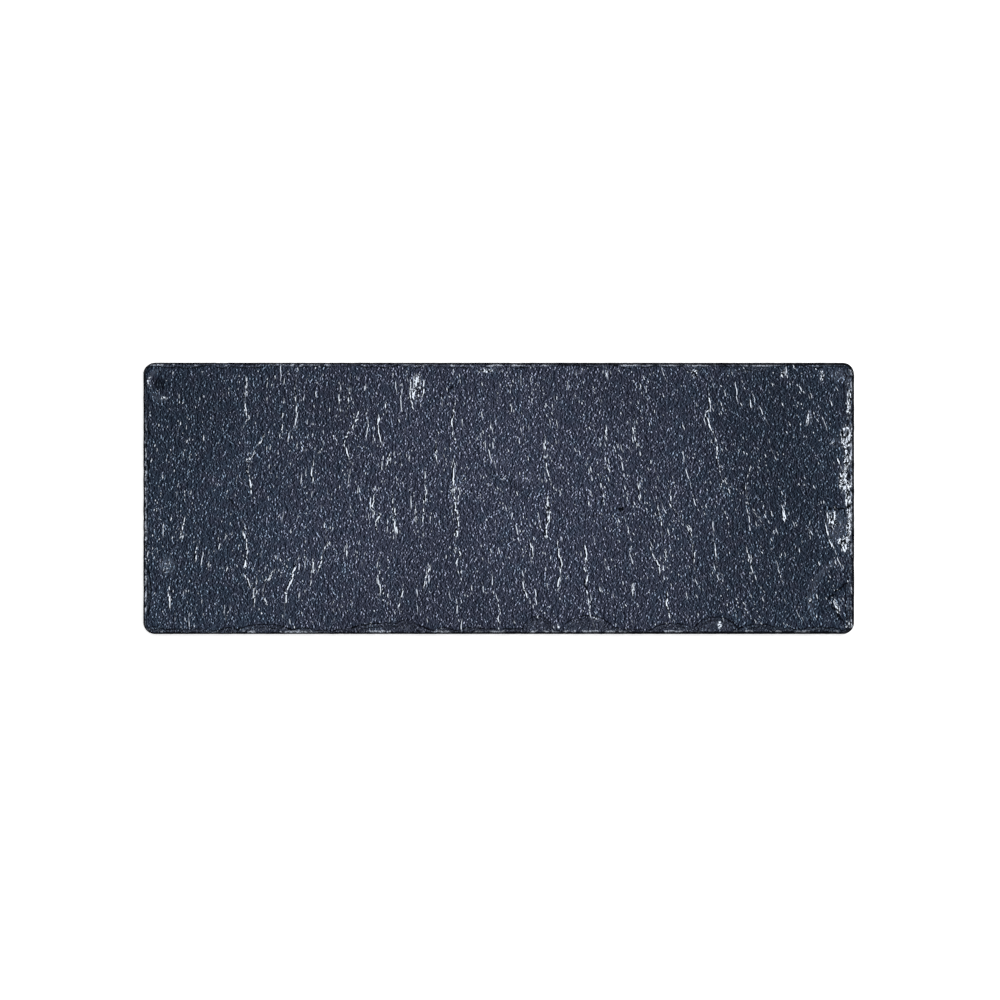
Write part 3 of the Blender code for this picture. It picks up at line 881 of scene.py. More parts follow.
    def trace(self, mesh: bpy.types.Mesh) -> None:
        """Stores the traces that the finishes read at the mesh's points.

        Args:
            mesh: The slab's mesh.
        """
        x, y, z = read_all(mesh.vertices, "co", 3).T
        upper = np.clip((z - self.lowest_mark) / self.mark_fade, 0, 1)
        drop, rim = self.chipped(x, y)
        depth, _, _ = self.outline(x, y)
        gap = np.full(x.shape, self.trace_reach)
        strength = np.zeros(x.shape)
        for streak in LEDGES + FRACTURES:
            nearest, side, walked = near_line(x, y, streak.points)
            taper = np.sqrt(np.sin(np.pi * np.clip(walked, 0, 1)))
            close = np.clip(1.5 - nearest / self.streak_reach, 0, 1)
            closer = nearest < np.abs(gap)
            gap[closer] = (np.sign(side) * nearest)[closer]
            white = streak.white * (upright(streak, walked) if streak.white > 0 else 1.0)
            strength[closer] = (white * taper * close)[closer]
        fills = ((self.pale_fill, PALE_PATCHES), (self.dark_fill, DARK_PATCHES))
        pale, dark = (sum(np.clip(fill * oval(x, y, patch), 0, patch.amount) for patch in patches)
                      for fill, patches in fills)
        for strokes, marks in ((PALE_STROKES, pale), (DARK_STROKES, dark)):
            for stroke in strokes:
                nearest, _, walked = near_line(x, y, stroke.points)
                ends = np.clip(self.stroke_taper * np.minimum(walked, 1 - walked), 0, 1)
                cover = np.clip(1.5 - 1.5 * nearest / (stroke.half_width * MM), 0, 1)
                np.maximum(marks, stroke.amount * ends * cover, out=marks)
        broken = np.maximum(0.5 * np.clip(drop / self.arris_drop, 0, 1), depth < self.edge_cut / 4)
        on_wall = z < self.top_height(x, y) - self.border_height
        outer = np.where(on_wall, self.trace_reach, np.clip(depth, 0, self.trace_reach))
        values = {
            Trace.GAP: gap,
            Trace.STREAK: strength * upper,
            Trace.PALE: pale * upper,
            Trace.DARK: dark * upper,
            Trace.BROKEN: broken,
            Trace.RIM: np.clip(rim, -self.trace_reach, self.trace_reach),
            Trace.OUTER: outer,
            Trace.TONE: sum(oval(x, y, tone) for tone in TONES),
        }
        for name, value in values.items():
            attribute = mesh.attributes.new(name.value, "FLOAT", "POINT")
            attribute.data.foreach_set("value", value.astype(np.float32))

    @staticmethod
    def part_underside(mesh: bpy.types.Mesh) -> None:
        """Gives the faces that look down the second finish.

        Args:
            mesh: The slab's mesh.
        """
        looks_down = read_all(mesh.polygons, "normal", 3)[:, 2] < LOOKS_DOWN
        mesh.polygons.foreach_set("material_index", looks_down.astype(np.int32))

    def lay_out(self, mesh: bpy.types.Mesh) -> None:
        """Lays the mesh out flat: the face, the underside, and the four walls as strips between them.

        Args:
            mesh: The slab's mesh.
        """
        corners = read_all(mesh.loops, "vertex_index", kind=int)
        x, y, z = read_all(mesh.vertices, "co", 3)[corners].T
        sizes = read_all(mesh.polygons, "loop_total", kind=int)
        normals = read_all(mesh.polygons, "normal", 3)
        normal_x, normal_y, normal_z = np.repeat(normals, sizes, axis=0).T
        margin = self.layout_margin
        sheet = self.length + 2 * margin
        u = x - self.low.x + margin
        v = np.where(normal_z < LOOKS_DOWN, 2 * margin + self.width + (y - self.low.y),
                     margin + (y - self.low.y))
        wall = np.abs(normal_z) < self.wall_tilt
        strip = 3 * margin + 2 * self.width + z
        strip_height = self.thickness + margin
        along_x = wall & (np.abs(normal_y) >= np.abs(normal_x))
        along_y = wall & ~along_x
        v = np.where(along_x, strip + strip_height * (normal_y > 0), v)
        v = np.where(along_y, strip + 2 * strip_height, v)
        across = y - self.low.y + margin + (self.width + margin) * (normal_x > 0)
        u = np.where(along_y, across, u)
        layer = mesh.uv_layers.new(name="OFBake")
        places = np.column_stack([u / sheet, v / sheet])
        layer.data.foreach_set("uv", places.astype(np.float32).ravel())


class Sheet:
    """A node tree that is being drawn up, with short ways to add to it."""

    def __init__(self, tree: bpy.types.NodeTree) -> None:
        """Starts on a tree."""
        self.tree = tree

    def add(self, kind: str, values: dict | None = None, **settings: object) -> bpy.types.Node:
        """Adds a node.

        Args:
            kind: The node's type.
            values: Inputs by name or number: a constant, or the output that feeds it.
            **settings: The node's own settings.

        Returns:
            The node.
        """
        node = self.tree.nodes.new(kind)
        for name, value in settings.items():
            setattr(node, name, value)
        for key, value in (values or {}).items():
            if isinstance(value, Socket):
                self.link(value, node.inputs[key])
            else:
                node.inputs[key].default_value = value
        return node

    def link(self, source: Socket, target: Socket) -> None:
        """Feeds an output into an input."""
        self.tree.links.new(source, target)

    def math(self, operation: str, first: object, second: object = 0.0, third: object = 0.0,
             clamp: bool = False) -> Socket:
        """Adds a Math node, with its result kept from 0 to 1 where it is clamped."""
        values = {0: first, 1: second, 2: third}
        return self.add("ShaderNodeMath", values, operation=operation, use_clamp=clamp).outputs[0]

    def times(self, first: object, second: object, clamp: bool = False) -> Socket:
        """Multiplies two values."""
        return self.math("MULTIPLY", first, second, clamp=clamp)

    def plus(self, first: object, second: object, clamp: bool = False) -> Socket:
        """Adds one value to another."""
        return self.math("ADD", first, second, clamp=clamp)

    def less(self, first: object, second: object, clamp: bool = False) -> Socket:
        """Takes the second value from the first."""
        return self.math("SUBTRACT", first, second, clamp=clamp)

    def over(self, first: object, second: object) -> Socket:
        """Divides the first value by the second."""
        return self.math("DIVIDE", first, second)

    def line(self, value: object, slope: object, start: object, clamp: bool = False) -> Socket:
        """Multiplies a value by a slope and adds a start to it."""
        return self.math("MULTIPLY_ADD", value, slope, start, clamp=clamp)

    def greater(self, first: object, second: object) -> Socket:
        """Takes the greater of two values."""
        return self.math("MAXIMUM", first, second)

    def unsigned(self, value: object) -> Socket:
        """Drops a value's sign."""
        return self.math("ABSOLUTE", value)

    def off_middle(self, value: Socket) -> Socket:
        """Finds how far a noise is from its middle."""
        return self.unsigned(self.less(value, 0.5))

    def per_mm(self, size: object) -> Socket:
        """Turns a size in millimetres into a noise's scale."""
        return self.over(1.0 / MM, size)

    def wandered(self, value: Socket, noise_value: Socket, reach: float) -> Socket:
        """Moves a value to and fro by a noise, by half the reach either way."""
        return self.plus(value, self.line(noise_value, reach, -reach / 2))

    def split(self, vector: Socket) -> list[Socket]:
        """Parts a vector into its three numbers."""
        return list(self.add("ShaderNodeSeparateXYZ", {0: vector}).outputs)

    def joined(self, x: object, y: object = 0.0, z: object = 0.0) -> Socket:
        """Makes a vector out of three numbers."""
        return self.add("ShaderNodeCombineXYZ", {0: x, 1: y, 2: z}).outputs[0]

    def vector(self, operation: str, first: Socket, second: object) -> Socket:
        """Adds a Vector Math node for two vectors."""
        return self.add("ShaderNodeVectorMath", {0: first, 1: second}, operation=operation).outputs[0]

    def enlarged(self, vector: Socket, factor: object) -> Socket:
        """Enlarges a vector, or brightens a colour."""
        values = {0: vector, "Scale": factor}
        return self.add("ShaderNodeVectorMath", values, operation="SCALE").outputs[0]

    def noise(self, place: Socket, scale: object = 1.0, **shape: object) -> Socket:
        """Adds a noise, with its own inputs by name, and gives its values."""
        return self.add("ShaderNodeTexNoise", {"Vector": place, "Scale": scale, **shape}).outputs["Fac"]

    def leaned(self, vector: Socket) -> tuple[Socket, Socket, Socket]:
        """Leans places as the grain does, which leans further towards the slab's right-hand end.

        Args:
            vector: The places.

        Returns:
            The places along the slab, across it, and along it when leaned.
        """
        x, y, _ = self.split(vector)
        lean = self.between(x, -END, END, *GRAIN_LEAN)
        return x, y, self.line(y, lean, x)

    def between(self, value: Socket, low: float, high: float,
                out_low: float = 0.0, out_high: float = 1.0) -> Socket:
        """Maps a value smoothly from one range to another.

        Args:
            value: The value.
            low: Where the range starts.
            high: Where the range ends.
            out_low: What the start gives.
            out_high: What the end gives.

        Returns:
            The mapped value.
        """
        values = {"Value": value, "From Min": low, "From Max": high, "To Min": out_low,
                  "To Max": out_high}
        return self.add("ShaderNodeMapRange", values, interpolation_type="SMOOTHSTEP").outputs["Result"]

    def trace(self, name: Trace) -> Socket:
        """Reads one of the mesh's traces."""
        return self.add("ShaderNodeAttribute", attribute_name=name.value).outputs["Fac"]

    def mix(self, amount: object, first: object, second: object, blend: str = "MIX") -> Socket:
        """Mixes two colours.

        Args:
            amount: How much of the second shows.
            first: The first colour.
            second: The second colour.
            blend: How they blend.

        Returns:
            The mixed colour.
        """
        node = self.add("ShaderNodeMix", data_type="RGBA", blend_type=blend)
        for key, value in (("Factor_Float", amount), ("A_Color", first), ("B_Color", second)):
            socket = next(item for item in node.inputs if item.identifier == key)
            if isinstance(value, Socket):
                self.link(value, socket)
            else:
                socket.default_value = (*value, 1.0) if isinstance(value, tuple) else value
        return next(item for item in node.outputs if item.identifier == "Result_Color")


def group_sheet(name: str, inputs: dict[str, float], outputs: tuple[str, ...]) -> tuple[
        Sheet, dict[str, Socket], bpy.types.Node]:
    """Starts a shader node group that takes a place and some values, and gives values.

    Args:
        name: The group's name.
        inputs: The default of each value that it takes.
        outputs: The names of the values that it gives.

    Returns:
        The sheet to draw on, the inputs' sockets by name, and the node that takes the outputs.
    """
    tree = bpy.data.node_groups.new(name, "ShaderNodeTree")
    tree.interface.new_socket(name="Vector", in_out="INPUT", socket_type="NodeSocketVector")
    for label, value in inputs.items():
        socket = tree.interface.new_socket(name=label, in_out="INPUT", socket_type="NodeSocketFloat")
        socket.default_value = value
    for label in outputs:
        tree.interface.new_socket(name=label, in_out="OUTPUT", socket_type="NodeSocketFloat")
    sheet = Sheet(tree)
    entry = sheet.add("NodeGroupInput")
    leave = sheet.add("NodeGroupOutput")
    return sheet, {label: entry.outputs[label] for label in ("Vector", *inputs)}, leave


class StoneGroups:
    """The node groups that the stone's finishes share."""

    def __init__(self) -> None:
        """Builds each group once."""
        self.grain = self.make_grain()
        self.rims = self.make_rims()
        self.dashes = self.make_dashes()
        self.splinters = self.make_splinters()
        self.layers = self.make_layers()

    @staticmethod
    def make_grain() -> bpy.types.NodeTree:
        """Grain: soft speckles, and crystals with painted light and shade, pale on the right of each
        edge and dark on its left.

        Returns:
            The group.
        """
        sheet, given, leave = group_sheet("stone_grain", {"Size": 1.0, "Stretch": 2.0, "Detail": 2.0},
                                          ("Speckle", "Crystals"))
        across = sheet.over(1.0, given["Stretch"])
        place = sheet.vector("MULTIPLY", given["Vector"], sheet.joined(1.0, across, 1.0))
        scale = sheet.per_mm(given["Size"])
        speckle = sheet.noise(place, scale, Detail=given["Detail"], Roughness=0.6)
        beside = sheet.vector("ADD", place, sheet.joined(sheet.times(given["Size"], 1.15 * MM)))
        heights = []
        for spot in (place, beside):
            crystals = sheet.add("ShaderNodeTexVoronoi", {"Vector": spot, "Scale": scale})
            height = sheet.add("ShaderNodeSeparateColor", {0: crystals.outputs["Color"]})
            heights.append(height.outputs[0])
        slope = sheet.less(*heights)
        sheet.link(speckle, leave.inputs["Speckle"])
        sheet.link(sheet.line(slope, 0.6, 0.5), leave.inputs["Crystals"])
        return sheet.tree

    @staticmethod
    def make_rims() -> bpy.types.NodeTree:
        """Rims: the broken rims of thin flakes, with a painted highlight where they face the right and
        painted shade where they face the left.

        Returns:
            The group.
        """
        sheet, given, leave = group_sheet(
            "flake_rims", {"Wave": 6.0, "Length": 3.5, "Width": 0.8, "Cover": 0.5, "Shift": 0.0},
            ("Right", "Left"))
        x, y, leaned = sheet.leaned(given["Vector"])
        scale = sheet.per_mm(given["Wave"])
        along = sheet.over(scale, given["Length"])
        flake_x = sheet.times(leaned, scale)
        flake_y = sheet.times(y, along)
        # A slower noise picks the flakes that show, fewer of them towards the ends
        gate_at = sheet.joined(sheet.times(flake_x, 0.7), sheet.times(flake_y, 1.4),
                               sheet.plus(given["Shift"], 17.3))
        gate = sheet.noise(gate_at, Detail=2.0)
        ends = sheet.between(sheet.unsigned(x), 0.06, END, 0.72, 0.78)
        least = sheet.line(given["Cover"], -0.5, ends)
        shown = sheet.times(sheet.less(gate, least), 12.0, clamp=True)
        # Beads break each rim up
        beads = sheet.noise(sheet.vector("MULTIPLY", given["Vector"], (1.0, 0.45, 1.0)), 0.55 / MM,
                            Detail=1.0)
        shown = sheet.times(shown, sheet.between(beads, 0.44, 0.52))
        width = sheet.over(given["Width"], given["Wave"])
        width = sheet.times(width, sheet.line(shown, 0.7, 0.3))
        heights = []
        for offset in (0.0, width):
            at = sheet.joined(sheet.plus(flake_x, offset), flake_y, given["Shift"])
            heights.append(sheet.line(sheet.noise(at, Detail=3.0, Roughness=0.55), 160.0, -80.0))
        here, beside = heights
        # Painted light and shade: a rim that drops to the right is lit pale, one that drops to the left
        # is shaded dark
        for name, high, low in (("Right", here, beside), ("Left", beside, here)):
            down = sheet.times(low, -1.0, clamp=True)
            rim = sheet.times(sheet.plus(high, 0.0, clamp=True), down)
            sheet.link(sheet.times(rim, shown), leave.inputs[name])
        return sheet.tree

    @staticmethod
    def make_dashes() -> bpy.types.NodeTree:
        """Dashes: short pale breaks with shadows, which gather along wandering lines.

        Returns:
            The group.
        """
        sheet, given, leave = group_sheet(
            "short_breaks", {"Across": 3.0, "Along": 6.0, "Width": 0.3, "Cover": 0.5, "Shift": 0.0},
            ("Pale", "Shadow"))
        _, y, leaned = sheet.leaned(given["Vector"])
        cell_x = sheet.line(leaned, sheet.per_mm(given["Across"]), given["Shift"])
        cell_y = sheet.times(y, sheet.per_mm(given["Along"]))
        at = sheet.joined(cell_x, cell_y)
        # Each cell of stone has at most one break, at its middle
        cell = sheet.add("ShaderNodeTexVoronoi", {"Vector": at, "Scale": 1.0}, voronoi_dimensions="2D")
        off_x, off_y, _ = sheet.split(sheet.vector("SUBTRACT", at, cell.outputs["Position"]))
        chance = sheet.add("ShaderNodeSeparateColor", {0: cell.outputs["Color"]}).outputs
        bend = sheet.line(sheet.noise(given["Vector"], 0.5 / MM, Detail=2.0), 1.6, -0.8)
        across = sheet.line(off_x, given["Across"], bend)
        along = sheet.over(off_y, sheet.line(chance[1], 0.34, 0.12))
        taper = sheet.less(1.0, sheet.times(along, along), clamp=True)
        # Lines 13 mm apart and 90 mm long, where the breaks crowd together
        spot_x, spot_y, _ = sheet.split(cell.outputs["Position"])
        line_x = sheet.times(spot_x, sheet.over(given["Across"], 13.0))
        line_y = sheet.times(spot_y, sheet.over(given["Along"], 90.0))
        line = sheet.noise(sheet.joined(line_x, line_y, given["Shift"]), Detail=2.0)
        crowd = sheet.between(sheet.off_middle(line), 0.0, 0.03, 7.0, 0.35)
        shown = sheet.math("LESS_THAN", chance[0], sheet.times(given["Cover"], crowd))
        taper = sheet.times(taper, shown)
        width = sheet.times(taper, given["Width"])
        whiteness = sheet.line(chance[2], 0.6, 0.4)
        for name, shift, wider, crisp in (("Pale", 0.0, 0.0, 12.0), ("Shadow", 0.2, 0.7, 4.0)):
            far = sheet.unsigned(sheet.plus(across, shift))
            inside = sheet.less(sheet.line(taper, wider, width), far)
            mark = sheet.times(inside, crisp, clamp=True)
            sheet.link(sheet.times(mark, whiteness), leave.inputs[name])
        return sheet.tree

    @staticmethod
    def make_splinters() -> bpy.types.NodeTree:
        """Splinters: turns a soft mask into a ragged net of strands with dark gaps between them.

        Returns:
            The group.
        """
        sheet, given, leave = group_sheet("splintered_mask", {"Mask": 0.0, "Size": 1.4, "Fill": 0.1},
                                          ("Strands", "Gaps"))
        drawn = sheet.vector("MULTIPLY", given["Vector"], (1.0, 0.5, 1.0))
        scale = sheet.per_mm(given["Size"])
        net = sheet.noise(drawn, scale, Detail=3.0, Roughness=0.65, Distortion=0.5)
        off = sheet.off_middle(net)
        reach = sheet.times(given["Mask"], given["Fill"])
        strands = sheet.times(sheet.less(reach, off), 60.0, clamp=True)
        beyond = sheet.times(sheet.less(off, reach), 40.0, clamp=True)
        sheet.link(strands, leave.inputs["Strands"])
        sheet.link(sheet.times(beyond, given["Mask"]), leave.inputs["Gaps"])
        return sheet.tree

    @staticmethod
    def make_layers() -> bpy.types.NodeTree:
        """Layers: the thin beds of the stone, which show as lines where its edge is broken.

        Returns:
            The group.
        """
        sheet, given, leave = group_sheet("stone_layers", {"Bed": 0.5, "Wander": 7.0},
                                          ("Shade", "Cracks"))
        _, _, z = sheet.split(given["Vector"])
        height = sheet.over(sheet.times(z, 1.0 / MM), given["Bed"])
        wave = sheet.noise(given["Vector"], sheet.per_mm(given["Wander"]), Detail=3.0, Roughness=0.6)
        level = sheet.plus(height, sheet.times(wave, 6.0))
        flat_x, flat_y, _ = sheet.split(sheet.enlarged(given["Vector"], 130.0))
        beds = sheet.noise(sheet.joined(flat_x, flat_y, level), Detail=3.0, Roughness=0.6)
        cracks = sheet.less(1.0, sheet.times(sheet.off_middle(beds), 28.0), clamp=True)
        sheet.link(beds, leave.inputs["Shade"])
        sheet.link(cracks, leave.inputs["Cracks"])
        return sheet.tree


class Rims(NamedTuple):
    """One size of flake: its sizes in millimetres, how much shows, and its noise's shift."""

    wave: float
    length: float
    width: float
    cover: float
    shift: float


class Dashes(NamedTuple):
    """One size of short break: its cell and half width in millimetres, its share, and its shift."""

    across: float
    along: float
    width: float
    cover: float
    shift: float


@dataclass(frozen=True)
class SlateFinish:
    """Riven slate: dark blue-grey stone, crisp grain, pale broken rims with painted light and shade,
    layered edge.
    """

    name: str
    marked: bool
    rims: tuple[Rims, ...]
    dashes: tuple[Dashes, ...]

    # Colours of the stone
    deep: Colour = (0.0008, 0.0011, 0.0020)
    shade: Colour = (0.0008, 0.0012, 0.0030)
    dull: Colour = (0.0080, 0.0106, 0.0190)
    body: Colour = (0.0245, 0.0300, 0.0460)
    light: Colour = (0.0375, 0.0455, 0.0680)
    glint: Colour = (0.0570, 0.0685, 0.0960)
    fleck: Colour = (0.3800, 0.4400, 0.5600)
    fracture: Colour = (0.81, 0.89, 1.00)
    # The edge's colours are darker than the face's, for painted shade on the walls
    edge_dark: Colour = (0.0030, 0.0038, 0.0060)
    edge_body: Colour = (0.0160, 0.0195, 0.0290)
    edge_light: Colour = (0.0600, 0.0690, 0.0900)
    edge_pale: Colour = (0.4200, 0.4600, 0.5400)
    purple: Colour = (1.06, 1.00, 1.06)
    green: Colour = (0.86, 1.01, 1.07)
    brightness: float = 0.86
    tone_contrast: float = 0.80
    cloud_contrast: float = 0.40

    # Sizes in millimetres
    crystal: float = 0.53
    streak_sway: float = 1.4
    streak_jump: float = 1.9
    streak_half_width: float = 0.13
    streak_widening: float = 0.16
    shadow_offset: float = 0.20
    rim_sway: float = 1.2
    border_sway: float = 1.4
    rim_lines: tuple[Point, ...] = ((0.0, 0.42), (1.8, 0.30))

    # Surface
    roughness: float = 0.66
    specular: float = 0.01
    bump: float = 0.9
    bump_height: float = 0.25 * MM

    def make(self, groups: StoneGroups) -> bpy.types.Material:
        """Makes the material.

        Args:
            groups: The shared node groups.

        Returns:
            The material.
        """
        material = bpy.data.materials.new(self.name)
        material.use_nodes = True
        drawing = SlateDrawing(material.node_tree, groups, self)
        drawing.draw(material.node_tree.nodes["Principled BSDF"])
        return material


class SlateDrawing(Sheet):
    """The node tree of one slate finish while it is drawn up."""

    def __init__(self, tree: bpy.types.NodeTree, groups: StoneGroups, finish: SlateFinish) -> None:
        """Places the grain in the sizes that all the effects share.

        Args:
            tree: The material's tree.
            groups: The shared node groups.
            finish: The finish.
        """
        super().__init__(tree)
        self.groups = groups
        self.finish = finish
        self.place = self.add("ShaderNodeTexCoord").outputs["Object"]
        self.fine, self.crystals = self.grain(finish.crystal, 1.9, 1.0)
        self.coarse, _ = self.grain(4.5, 3.0, 3.0)
        self.sway, _ = self.grain(7.0, 1.0, 3.0)
        self.jag, _ = self.grain(2.2, 1.0, 1.0)
        self.dashes, _ = self.grain(1.7, 2.4, 1.0)
        _, self.pieces = self.grain(2.6, 1.6, 0.0)

    def effect(self, group: bpy.types.NodeTree, **values: object) -> list[Socket]:
        """Places a group on the stone, with its inputs by name, and gives its outputs."""
        node = self.add("ShaderNodeGroup", {"Vector": self.place, **values}, node_tree=group)
        return list(node.outputs)

    def grain(self, size: float, stretch: float, detail: float) -> list[Socket]:
        """Places the grain in one size, and gives its speckles and its crystals."""
        return self.effect(self.groups.grain, Size=size, Stretch=stretch, Detail=detail)

    def length(self, name: Trace) -> Socket:
        """Reads a trace that is a length, in millimetres."""
        return self.times(self.trace(name), 1.0 / MM)

    def ramp(self, value: Socket, stops: dict[float, Colour]) -> Socket:
        """Turns a value into a colour.

        Args:
            value: The value.
            stops: The colour at each value.

        Returns:
            The colour.
        """
        node = self.add("ShaderNodeValToRGB", {0: value})
        elements = node.color_ramp.elements
        while len(elements) < len(stops):
            elements.new(0.5)
        for element, (position, colour) in zip(elements, stops.items()):
            element.position = position
            element.color = (*colour, 1.0)
        return node.outputs[0]

    def stone(self) -> Socket:
        """Draws the bare stone: crystals with painted light and shade and painted glints, and broad
        light and dark areas with a painted sheen over the middle.

        Returns:
            Its colour.
        """
        finish = self.finish
        value = self.plus(self.crystals, self.line(self.fine, 0.4, -0.2))
        # The glint and fleck stops paint the grain's glints
        colour = self.ramp(value, {0.22: finish.shade, 0.38: finish.dull, 0.52: finish.body,
                                   0.70: finish.light, 0.88: finish.glint, 1.0: finish.fleck})
        cloud, _ = self.grain(34.0, 1.6, 3.0)
        # The traced tone paints a sheen over the middle and darkens the ends
        bright = self.line(self.trace(Trace.TONE), finish.tone_contrast, finish.brightness)
        bright = self.line(cloud, finish.cloud_contrast, bright)
        ends = self.between(self.unsigned(self.split(self.place)[0]), 0.05, END, 0.0, 0.7)
        greenness = self.plus(ends, self.line(self.sway, 3.2, -1.5), clamp=True)
        hue = self.mix(greenness, finish.purple, finish.green)
        return self.mix(1.0, self.enlarged(colour, bright), hue, "MULTIPLY")

    def natural_rims(self) -> tuple[Socket, Socket]:
        """Draws the rims of countless small flakes, and countless short breaks.

        Returns:
            How white and how dark the stone is along them: painted highlights on the rims that face the
            right, painted shade on those that face the left, pale breaks, and painted shadows beside
            the breaks.
        """
        sizes = [(self.groups.rims, size) for size in self.finish.rims]
        sizes += [(self.groups.dashes, size) for size in self.finish.dashes]
        marks = [self.effect(group, **{name.title(): value for name, value in size._asdict().items()})
                 for group, size in sizes]
        pale, dark = marks[0]
        for right, left in marks[1:]:
            pale = self.greater(pale, right)
            dark = self.greater(dark, left)
        return pale, dark

    def known_streaks(self) -> tuple[Socket, Socket]:
        """Draws the streaks that the mesh traces.

        Returns:
            How white the stone is along them, pale broken stone with a painted highlight, and how dark
            in and beside them, which is painted shadow.
        """
        finish = self.finish
        gap = self.wandered(self.length(Trace.GAP), self.sway, finish.streak_sway)
        gap = self.wandered(gap, self.pieces, finish.streak_jump)
        signed = self.trace(Trace.STREAK)
        strength = self.times(signed, self.between(self.dashes, 0.44, 0.52, 0.12, 1.6), clamp=True)
        half_width = self.line(strength, finish.streak_widening, finish.streak_half_width)
        pale = self.line(self.over(self.unsigned(gap), half_width), -3.0, 3.6, clamp=True)
        # Painted shadow beside each streak
        beside = self.unsigned(self.plus(gap, finish.shadow_offset))
        dark = self.line(self.less(half_width, beside), 4.0, 3.0, clamp=True)
        shown = self.times(strength, 1.8, clamp=True)
        # Painted shadow along the dark streaks
        slit = self.line(self.unsigned(gap), -3.5, 2.3, clamp=True)
        slit = self.times(slit, self.times(signed, -1.5, clamp=True))
        dark = self.greater(self.times(dark, shown), slit)
        return self.times(pale, shown), dark

    def broken_edge(self, colour: Socket) -> tuple[Socket, ...]:
        """Draws the layered edge over the stone; its darker colours, mostly on the walls, are painted
        shade.

        Args:
            colour: The stone's colour.

        Returns:
            The colour, how broken the edge is, and the height of its layers.
        """
        finish = self.finish
        broken = self.between(self.trace(Trace.BROKEN), 0.01, 0.18)
        wall = self.between(self.trace(Trace.BROKEN), 0.55, 0.95)
        shade, cracks = self.effect(self.groups.layers, Bed=0.55, Wander=9.0)
        _, crumbs = self.grain(0.55, 1.0, 1.0)
        value = self.line(crumbs, 0.75, self.line(shade, 0.7, -0.22))
        edge = self.ramp(value, {0.24: finish.edge_dark, 0.50: finish.edge_body,
                                 0.68: finish.edge_light, 0.82: finish.fleck})
        edge = self.mix(self.times(cracks, 0.8), edge, finish.deep)
        # Mostly on the walls: painted shade
        cover = self.plus(self.times(broken, 0.22), self.times(wall, 0.6))
        return self.mix(cover, colour, edge), broken, shade

    def edge_lines(self) -> tuple[Socket, Socket]:
        """Draws painted shade along the chips' inner rims and the slab's outer rim, where the stone
        falls away, and pale crescents between them, partly pale broken stone and partly painted
        highlight.

        Returns:
            How dark the painted shade and how pale the crescents make the stone there.
        """
        finish = self.finish
        rim = self.wandered(self.length(Trace.RIM), self.jag, finish.rim_sway)
        patchy = self.between(self.coarse, 0.36, 0.54, 0.25, 1.1)
        lines = []
        for place, half_width in finish.rim_lines:
            far = self.unsigned(self.plus(rim, place))
            lines.append(self.line(far, -4.0, 4.0 * half_width, clamp=True))
        inner = self.times(self.greater(*lines), patchy, clamp=True)
        depth = self.wandered(self.length(Trace.OUTER), self.jag, finish.border_sway)
        width = self.between(self.split(self.place)[0], -END, END, 3.4, 4.9)
        outer = self.line(depth, -3.0, width, clamp=True)
        crescent = self.line(rim, -2.0, -1.2, clamp=True)
        crescent = self.times(crescent, self.line(depth, -2.4, 5.2, clamp=True))
        crescent = self.times(crescent, self.between(self.sway, 0.49, 0.55))
        crescent = self.times(crescent, self.between(self.crystals, 0.28, 0.56, 0.1, 1.0))
        return self.greater(inner, outer), crescent

    def worn(self, colour: Socket, pale: Socket, dark: Socket) -> tuple[Socket, Socket, Socket]:
        """Draws the painted shade at the chips' rims, the pale bruises and painted highlights with
        their splinters, and the painted shadows and stains over the stone.

        Args:
            colour: The stone's colour.
            pale: How white it is.
            dark: How dark it is.

        Returns:
            The same three, with the wear and the painted light and shade.
        """
        edge_pale = self.finish.edge_pale
        # Painted shade at the chips' rims and the outer rim, and painted highlights in the crescents
        rim, crescent = self.edge_lines()
        colour = self.mix(crescent, colour, edge_pale)
        # Pale bruised stone, and painted highlights on the chips at the right-hand end
        bruise_and_highlight = self.trace(Trace.PALE)
        haze = self.times(self.between(bruise_and_highlight, 0.0, 0.35), self.between(bruise_and_highlight, 0.42, 0.52, 1.0, 0.1))
        colour = self.enlarged(colour, self.line(haze, 0.36, 1.0))
        colour = self.mix(self.times(haze, 0.04), colour, edge_pale)
        # Painted shadow in creases and hollows, and stains
        shade_and_stain = self.trace(Trace.DARK)
        shade_and_stain = self.greater(self.times(shade_and_stain, 0.6), self.line(shade_and_stain, 4.0, -2.0, clamp=True))
        dark = self.greater(dark, self.greater(rim, shade_and_stain))
        ragged = self.wandered(bruise_and_highlight, self.jag, self.finish.rim_sway)
        ragged = self.between(self.line(self.pieces, 0.5, ragged), 0.65, 0.95)
        strands, gaps = self.effect(self.groups.splinters, Mask=ragged, Size=2.8, Fill=0.044)
        strands = self.times(strands, self.between(self.crystals, 0.30, 0.44))
        dark = self.greater(dark, gaps)
        return colour, self.greater(pale, strands), dark

    def draw(self, shader: bpy.types.Node) -> None:
        """Draws the finish up.

        Args:
            shader: The material's shader.
        """
        finish = self.finish
        pale, dark = self.natural_rims()
        if finish.marked:
            streak, streak_shadow = self.known_streaks()
            pale = self.greater(pale, streak)
            dark = self.greater(dark, streak_shadow)
        pale = self.times(pale, self.between(self.crystals, 0.05, 0.45, 0.65, 1.1), clamp=True)
        colour, broken, layers = self.broken_edge(self.stone())
        face = self.line(broken, -0.85, 1.0)
        pale = self.times(pale, face)
        dark = self.times(dark, face)
        if finish.marked:
            colour, pale, dark = self.worn(colour, pale, dark)
        # Painted shade and shadows at rims, breaks and creases, and stains, in the deep colour
        colour = self.mix(self.times(dark, 0.94), colour, finish.deep)
        # Pale breaks and bruises, with painted highlights, in the fracture colour
        colour = self.mix(pale, colour, finish.fracture)

